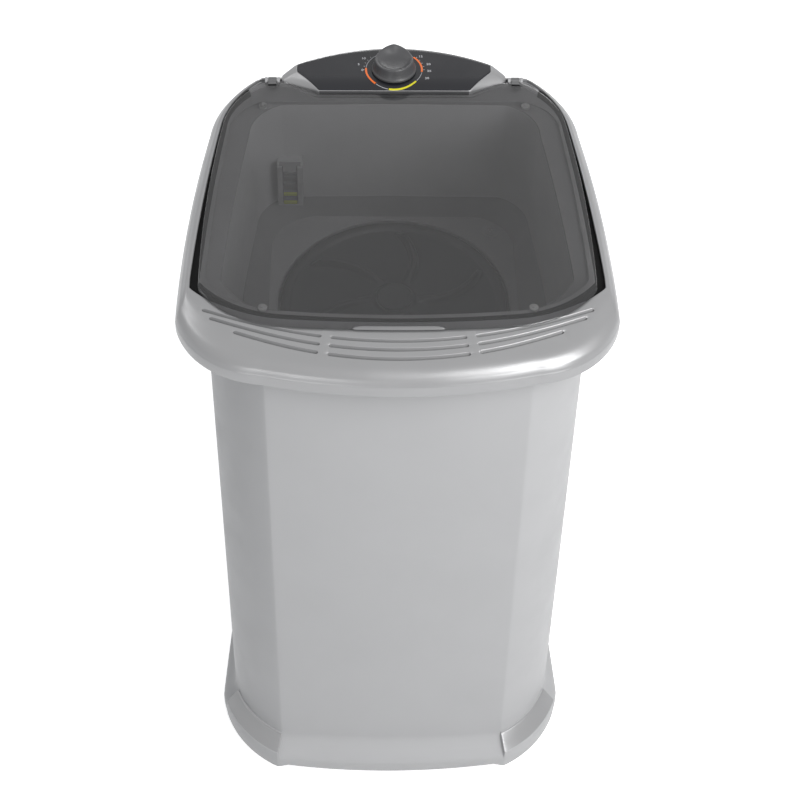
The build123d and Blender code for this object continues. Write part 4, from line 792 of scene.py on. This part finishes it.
def make_dial():
    low, high = FACE_Z - 0.05, FACE_Z + 0.22
    shape = Shape()
    for start, stop in ((-37, -9), (47, 173), (230, 257)):
        band(shape, 34.0, 34.55, start, stop, low, high)
    for angle in (*range(0, 41, 10), *range(140, 181, 10)):
        a = radians(angle)
        radial, across = np.array([cos(a), sin(a)]), np.array([-sin(a), cos(a)])
        corners = [radial * r + across * w
                   for r, w in ((36.0, -0.25), (37.6, -0.25), (37.6, 0.25), (36.0, 0.25))]
        rows = [[(x, y + DIAL_BACK, z) for x, y in corners] for z in (low, high)]
        shape.solid(rows)
    shape.build("dial_ring", "machine", [PRINT_WHITE])
    for name, ink, arcs in (("dial_arcs_orange", PRINT_ORANGE, ((175, 228), (-7, 45))),
                            ("dial_arc_yellow", PRINT_YELLOW, ((259, 321),))):
        shape = Shape()
        for start, stop in arcs:
            band(shape, 33.0, 35.3, start, stop, low, high + 0.05)
        shape.build(name, "machine", [ink])
    places = [("0", -38.5, 497.0), ("5", -43.0, 508.0), ("10", -37.0, 519.5), ("15", 33.0, 523.5),
              ("20", 42.5, 508.5), ("25", 43.0, 495.5), ("30", 40.0, 481.5)]
    for place, (text, x, back) in enumerate(places):
        make_number(place, text, x, back)


# ---------------- knob
# Radius and height of the knob's outline, up its outside to the rim and then in over the dished top
KNOB_PROFILE = [(24.4, 811.5), (24.4, 806.7), (24.8, 806.5), (26.5, 806.5), (26.9, 806.8), (27, 807.4),
                (27, 808.9), (26.7, 809.5), (26.2, 810.0), (25.6, 811.5), (24.8, 814), (24.1, 816.8),
                (23.5, 819.6), (23.1, 821.2), (22.85, 821.9), (22.4, 822.35), (21.7, 822.5), (20.9, 822.35),
                (20.2, 821.9), (19.0, 821.0), (17.6, 820.1), (16, 819.3), (14, 818.7), (11, 818.3),
                (7, 818.1), (3.5, 818.0)]
KNOB_RIM = 17
POINTER_RISE = 5.5


def make_knob():
    count = 144
    angles = np.arange(count) * 2 * pi / count
    rows = []
    for i, (radius, z) in enumerate(KNOB_PROFILE):
        x, y = radius * np.cos(angles), radius * np.sin(angles)
        outside = (z - 812.0) / 9.0 if i < KNOB_RIM else (radius - 9.0) / 10.5
        outside = min(1.0, max(0.0, outside))
        # The pointer rises from the rear half, highest near the middle
        rear = np.clip(y / 9.0, 0, 1)
        tent = np.clip(1.06 - np.hypot(x, 2.0) / 20.0, 0, 1)
        lift = POINTER_RISE * tent * rear * rear * (3 - 2 * rear) * outside * outside * (3 - 2 * outside)
        rows.append(np.column_stack([x, y + DIAL_BACK, z + lift]))
    shape = Shape()
    shape.solid(rows)
    shape.build("knob_cap", "timer_knob", [of("knob_plastic")], ["knob"], 40)


# ---------------- lid
def lid_parts(plan, notch):
    """The lid's half outline, with its notch round the pod at a distance from it."""
    parts = plan.parts()
    slope = (140 - 93.2) / (486.5 - 458)
    front_x, front_back = 92 + 0.4 * notch, POD_LEAD - notch
    meet_x = front_x + (plan.rear - front_back) * slope
    return parts[:4] + [line(plan.points[-1], (meet_x, plan.rear)),
                        line((meet_x, plan.rear), (front_x, front_back)),
                        line((front_x, front_back), (0, front_back))]


# The lid's rows, from the skirt's inside over its foot to the top: insets, and height
LID_ROWS = [((17.5, 4.0, 4.0), 796.6), ((17.5, 4.0, 4.0), 793.0), ((16.9, 3.4, 3.4), 792.5),
            ((15.6, 2.1, 2.1), 792.5), ((15, 1.5, 1.5), 793.0), ((15, 1.5, 1.5), 796.6),
            ((0.8, 0.5, 0.5), 796.6), ((0.2, 0.1, 0.1), 796.85), ((0, 0, 0), 797.2), ((0.1, 0, 0), 797.7),
            ((0.9, 0.05, 0.05), 798.4), ((2.4, 0.3, 0.3), 799.0), ((4.8, 0.75, 0.75), 799.5),
            ((8.0, 1.4, 1.4), 799.82), ((12.0, 2.4, 2.4), 799.96), ((16.0, 3.6, 3.6), 800.0)]
LID_TOP_ROW = 8
LID_CLEARANCE = 1.8


def make_lid():
    columns = spread((30, 24, 20, 16, 8, 10, 16), [3.97, 4.03, 4.85, 4.95, 5.03, 5.1, 5.93, 6.03])
    rows = [raised(loop(lid_parts(LIP.inset(*inset), LID_CLEARANCE + inset[2]), columns, 2.5), z)
            for inset, z in LID_ROWS]
    shape = Shape()
    numbers = shape.skin(rows, mark=lambda r, c: 0 if r >= LID_TOP_ROW else 1)
    shape.cap(numbers[0], 1)
    shape.cap(numbers[-1], 0)
    return shape.build("lid_panel", "lid", [LID_TOP, LID_UNDER], ["lid", "lid_skirt"], 40)


def make_grip():
    """The raised finger grip along the lid's lip."""
    lip_front = LIP.parts()[0]
    section = [(-1.3, 0.1), (-1.9, 0.7), (-1.7, 1.5), (-0.9, 2.0), (0.6, 2.25), (3.0, 2.45),
               (4.2, 2.4), (4.4, 0.5)]
    rows = []
    for share in np.linspace(-1, 1, 41):
        x = 51.5 * share
        back = float(np.interp(abs(x), lip_front[:, 0], lip_front[:, 1])) + 0.3
        taper = (1 - abs(share) ** 14) ** 0.5 if abs(share) < 1 else 0.0
        taper = max(taper, 0.08)
        rows.append([(x, back + 1.2 + dy * taper, 796.9 + dz * (0.35 + 0.65 * taper))
                     for dy, dz in section])
    shape = Shape()
    shape.solid(rows)
    shape.build("lid_grip", "lid", [GRIP])


# ---------------- tub
def make_tub():
    columns = spread((22, 18, 22, 18, 14), [0.97, 1.03, 1.97, 2.03, 2.97, 3.03, 3.96, 4.04])
    floor = loop(BOWL_FLOOR.parts(), columns, 1.5)
    angles = np.arctan2(floor[:, 1] - PULSATOR_BACK, floor[:, 0])

    def round_ring(radius, z):
        return np.column_stack([radius * np.cos(angles), PULSATOR_BACK + radius * np.sin(angles),
                                np.full(len(angles), float(z))])

    def ring(plan, z, out=0.0, soften=2.0):
        return raised(loop(plan.inset(-out, -out, -out).parts(), columns, soften), z)

    def between(low, high, share):
        return low * (1 - share) + high * share

    top, bowl = ring(COLLAR, 767), ring(BOWL_TOP, 505)
    low = ring(BOWL_FLOOR, 446)
    rows = [round_ring(radius, z) for radius, z in
            ((20, 436), (141, 436), (141.8, 436.6), (142, 437.5), (142, 444.6), (142.4, 445.6),
             (143.2, 446))]
    rows += [between(rows[-1], low, 0.75)]
    rows += [between(low, bowl, s) for s in (0.02, 0.06, 0.3, 0.6, 0.9, 0.965)]
    lip = between(bowl, top, 0.006)
    rows += [between(between(low, bowl, 0.985), lip, 0.5), lip]
    rows += [between(bowl, top, s) for s in (0.02, 0.15, 0.4, 0.7, 0.97)]
    flange = len(rows) + 2
    crease = len(rows) - 6
    rows += [top, ring(COLLAR, 776), ring(COLLAR, 780.4), ring(COLLAR, 781.6, 0.5)]
    rows += [ring(OPENING, z, out) for z, out in
             ((787, 0.2), (788.0, 0.8), (788.0, 7.5), (787.5, 8), (785.4, 8), (785, 7.5), (785, 3.5))]
    rows += [ring(COLLAR, 781, TUB_WALL), ring(COLLAR, 767, TUB_WALL), ring(BOWL_TOP, 505, TUB_WALL),
             ring(BOWL_FLOOR, 446 - TUB_WALL, TUB_WALL)]
    rows += [round_ring(radius, z) for radius, z in
             ((144.5, 443.5), (144.5, 434), (144, 433.5), (20, 433.5))]

    def finish(row, column):
        """Painted shade: the bowl is darker than the walls, and the flange under the lid's edge darker
        still.
        """
        return 1 if row < crease else 2 if flange <= row < flange + 5 else 0

    shape = Shape()
    shape.skin(rows, shut=True, mark=finish)
    # Bosses for the bearing housing and the motor plate, and the drain's spigot
    bosses = [(58 * cos(a), PULSATOR_BACK + 58 * sin(a), 8.0, 425.5, 434.5)
              for a in np.radians([45, 135, 225, 315])]
    bosses += [(x, y, 8.0, 426.0, 447.0 if y > 150 else 500.0) for x in (-80, 80) for y in (118, 185)]
    bosses.append((124, 424, 10.0, 405.5, 445.0))
    for x, y, radius, bottom, upper in bosses:
        shape.solid([circle(r, y, z, 32, x) for r, z in
                     ((radius - 0.8, bottom), (radius, bottom + 0.8), (radius, upper))])
    shape.build("tub_shell", "machine", [of("tub_plastic"), BOWL_PAINTED_SHADE, LEDGE_PAINTED_SHADE],
                ["tub"], 24)


# ---------------- pulsator
# Radius and height of the disc's upper side, from the hub out to the rim
DISC_PROFILE = [
    (18, 464), (22, 464), (23.2, 463.8), (23.8, 463.2), (24.4, 461.6), (26, 459.9), (28, 458.9),
    (30, 458.4), (32, 458), (35, 457.2), (40, 455.6), (50, 452.6), (60, 450.2), (70, 448.2), (80, 446.7),
    (90, 445.5), (100, 444.6), (108, 444.0), (113, 443.7), (116, 443.5), (118, 443.35), (120, 443.2),
    (122, 443.1), (124, 443.0), (125.5, 443.2), (127, 444.6), (129, 445.7), (130.5, 446), (134, 446),
    (137, 445.8), (138.3, 445.2), (139, 444)]
# Across a fin: distance from its middle, and share of its height
FIN_SECTION = [(-8.5, 0), (-6.6, 0.04), (-5.2, 0.25), (-3.6, 0.86), (-2.6, 0.98), (-1.5, 1), (0, 1),
               (1.5, 1), (2.6, 0.98), (3.6, 0.86), (5.2, 0.25), (6.6, 0.04), (8.5, 0)]
FIN_TOP = 460


def make_pulsator():
    fins, between = 6, 12
    edge = FIN_SECTION[-1][0]
    rows = []
    for radius, z in DISC_PROFILE:
        # How far the fins are swept back, and their share of the full height
        lead = radians(float(np.interp(radius, [28, 50, 72, 96, 119], [0, 3.4, 9, 16.8, 26])))
        height = float(np.interp(radius, [25, 27, 31, 112, 120, 123], [0, 0.35, 1, 1, 0.25, 0]))
        points = []
        for fin in range(fins):
            base = fin * 2 * pi / fins + lead
            for offset, up in FIN_SECTION:
                points.append((base + offset / radius, z + max(0.0, FIN_TOP - z) * height * up))
            gap = 2 * pi / fins - 2 * edge / radius
            for k in range(1, between + 1):
                points.append((base + edge / radius + gap * k / (between + 1), z))
        rows.append([(radius * cos(a), PULSATOR_BACK + radius * sin(a), h) for a, h in points])
    rim_angles = [atan2(y - PULSATOR_BACK, x) for x, y, _ in rows[-1]]
    for radius, z in ((139, 439), (138.4, 438), (20, 438), (18, 438.5)):
        rows.append([(radius * cos(a), PULSATOR_BACK + radius * sin(a), z) for a in rim_angles])
    shape = Shape()
    shape.skin(rows, shut=True)
    shape.build("pulsator_disc", "agitator", [of("pulsator_plastic")],
                ["pulsator"], 38)


make_cabinet()
make_top_frame()
make_pod()
make_fascia()
make_dial()
make_knob()
lid_panel = make_lid()
make_grip()
make_tub()
make_pulsator()

# ---------------- finishes of the CAD pieces that stay
slots = {row["node"]: row["material_slot"] for row in frame["record"]["subparts"]}
# The bumpers get the painted glint and the drain grate the bowl's painted shade
special = {"lid_bumpers": BUMPER_PAINTED_GLINT, "lid_knuckles": KNUCKLE_DARK, "hinge_brackets": BRACKET_GREY,
           "filter_channel": CHANNEL_GREY, "drain_grate": BOWL_PAINTED_SHADE}
for name, node in frame["nodes"].items():
    node.data.materials.clear()
    node.data.materials.append(special.get(name) or of(slots[name]))


# ---------------- floor, light and camera
FLOOR_REACH = 60.0
FLOOR_GLOW = 0.72
CAMERA_PLACE = (-0.04295, -1.707, 2.347)
CAMERA_PITCH, CAMERA_YAW, CAMERA_ROLL = 47.9, 1.75, 1.25


def shown_directly(tree):
    """1 for rays of the camera, of gloss and of glass, which see a plain white, and 0 for all others."""
    path = tree.nodes.new("ShaderNodeLightPath")
    share = path.outputs["Is Camera Ray"]
    for name in ("Is Glossy Ray", "Is Transmission Ray"):
        larger = tree.nodes.new("ShaderNodeMath")
        larger.operation = "MAXIMUM"
        tree.links.new(share, larger.inputs[0])
        tree.links.new(path.outputs[name], larger.inputs[1])
        share = larger.outputs[0]
    return share


def make_world():
    world = bpy.data.worlds.new("studio")
    bpy.context.scene.world = world
    world.use_nodes = True
    tree = world.node_tree
    soft = tree.nodes["Background"]
    soft.inputs["Color"].default_value = (0.95, 0.97, 1.0, 1)
    soft.inputs["Strength"].default_value = 0.45
    white = tree.nodes.new("ShaderNodeBackground")
    white.inputs["Color"].default_value = (1, 1, 1, 1)
    white.inputs["Strength"].default_value = 1.0
    mix = tree.nodes.new("ShaderNodeMixShader")
    tree.links.new(shown_directly(tree), mix.inputs[0])
    tree.links.new(soft.outputs[0], mix.inputs[1])
    tree.links.new(white.outputs[0], mix.inputs[2])
    tree.links.new(mix.outputs[0], tree.nodes["World Output"].inputs["Surface"])


def make_floor():
    mesh = bpy.data.meshes.new("floor")
    corners = [(-FLOOR_REACH, -FLOOR_REACH, 0), (FLOOR_REACH, -FLOOR_REACH, 0),
               (FLOOR_REACH, FLOOR_REACH, 0), (-FLOOR_REACH, FLOOR_REACH, 0)]
    mesh.from_pydata(corners, [], [(0, 1, 2, 3)])
    floor = bpy.data.objects.new("floor", mesh)
    bpy.context.scene.collection.objects.link(floor)
    g = Graph("pale_floor")
    tone = g.mixed(g.ranged(g.noise(1.2, 3.0), 0.0, 1.0), (0.79, 0.79, 0.79), (0.81, 0.81, 0.81))
    g.feed("Base Color", tone)
    g.shader.inputs["Roughness"].default_value = 0.9
    g.shader.inputs["Specular IOR Level"].default_value = 0.0
    # A glow that only lifts the floor's look to white
    glow = g.node("ShaderNodeEmission", {"Color": (1, 1, 1, 1)})
    scaled = g.node("ShaderNodeMath", {0: shown_directly(g.tree), 1: FLOOR_GLOW},
                    operation="MULTIPLY").outputs[0]
    g.tree.links.new(scaled, glow.inputs["Strength"])
    both = g.node("ShaderNodeAddShader", {0: g.shader.outputs[0], 1: glow.outputs[0]})
    g.tree.links.new(both.outputs[0], g.output.inputs["Surface"])
    mesh.materials.append(g.material)


def lamp(name, place, target, size, power):
    light = bpy.data.lights.new(name, "AREA")
    light.shape, light.size, light.size_y = "RECTANGLE", size[0], size[1]
    light.energy = power
    holder = bpy.data.objects.new(name, light)
    holder.location = place
    aim = (Vector(target) - Vector(place)).to_track_quat("-Z", "Y")
    holder.rotation_euler = aim.to_euler()
    bpy.context.scene.collection.objects.link(holder)
    return holder


def spare(holder, pieces):
    """Keep the lamp's light, and so its mirror image, off these pieces."""
    spared = bpy.data.collections.new(holder.name + "_spared")
    for piece in pieces:
        spared.objects.link(piece)
    holder.light_linking.receiver_collection = spared
    for entry in spared.collection_objects:
        entry.light_linking.link_state = "EXCLUDE"


def make_camera():
    data = bpy.data.cameras.new("view")
    data.lens, data.sensor_width = 90.0, 36.0
    data.clip_start, data.clip_end = 0.05, 200.0
    camera = bpy.data.objects.new("view", data)
    pitch, yaw, roll = radians(CAMERA_PITCH), radians(CAMERA_YAW), radians(CAMERA_ROLL)
    ahead = Vector((sin(yaw) * cos(pitch), cos(yaw) * cos(pitch), -sin(pitch)))
    right = Vector((cos(yaw), -sin(yaw), 0.0))
    up = right.cross(ahead)
    x_axis = right * cos(roll) + up * sin(roll)
    y_axis = up * cos(roll) - right * sin(roll)
    turn = Matrix((x_axis, y_axis, -ahead)).transposed().to_4x4()
    camera.matrix_world = Matrix.Translation(CAMERA_PLACE) @ turn
    bpy.context.scene.collection.objects.link(camera)
    bpy.context.scene.camera = camera


make_world()
make_floor()
make_camera()
key = lamp("key", (1.25, -2.1, 1.5), (0, 0, 0.5), (1.1, 1.1), 19)
spare(key, [lid_panel])
lamp("spark", (1.23, -1.2, 2.44), (0.15, -0.24, 0.8), (1.15, 1.6), 38)
lamp("front", (-0.9, -2.5, 1.15), (0, 0, 0.5), (0.9, 0.5), 4)
lamp("left", (-1.6, 0.67, 2.26), (-0.2, -0.2, 0.8), (0.8, 0.6), 4)
lamp("rear", (0.4, 2.4, 1.4), (0, 0, 0.5), (1.2, 0.9), 10)
bpy.context.scene.view_settings.view_transform = "Standard"
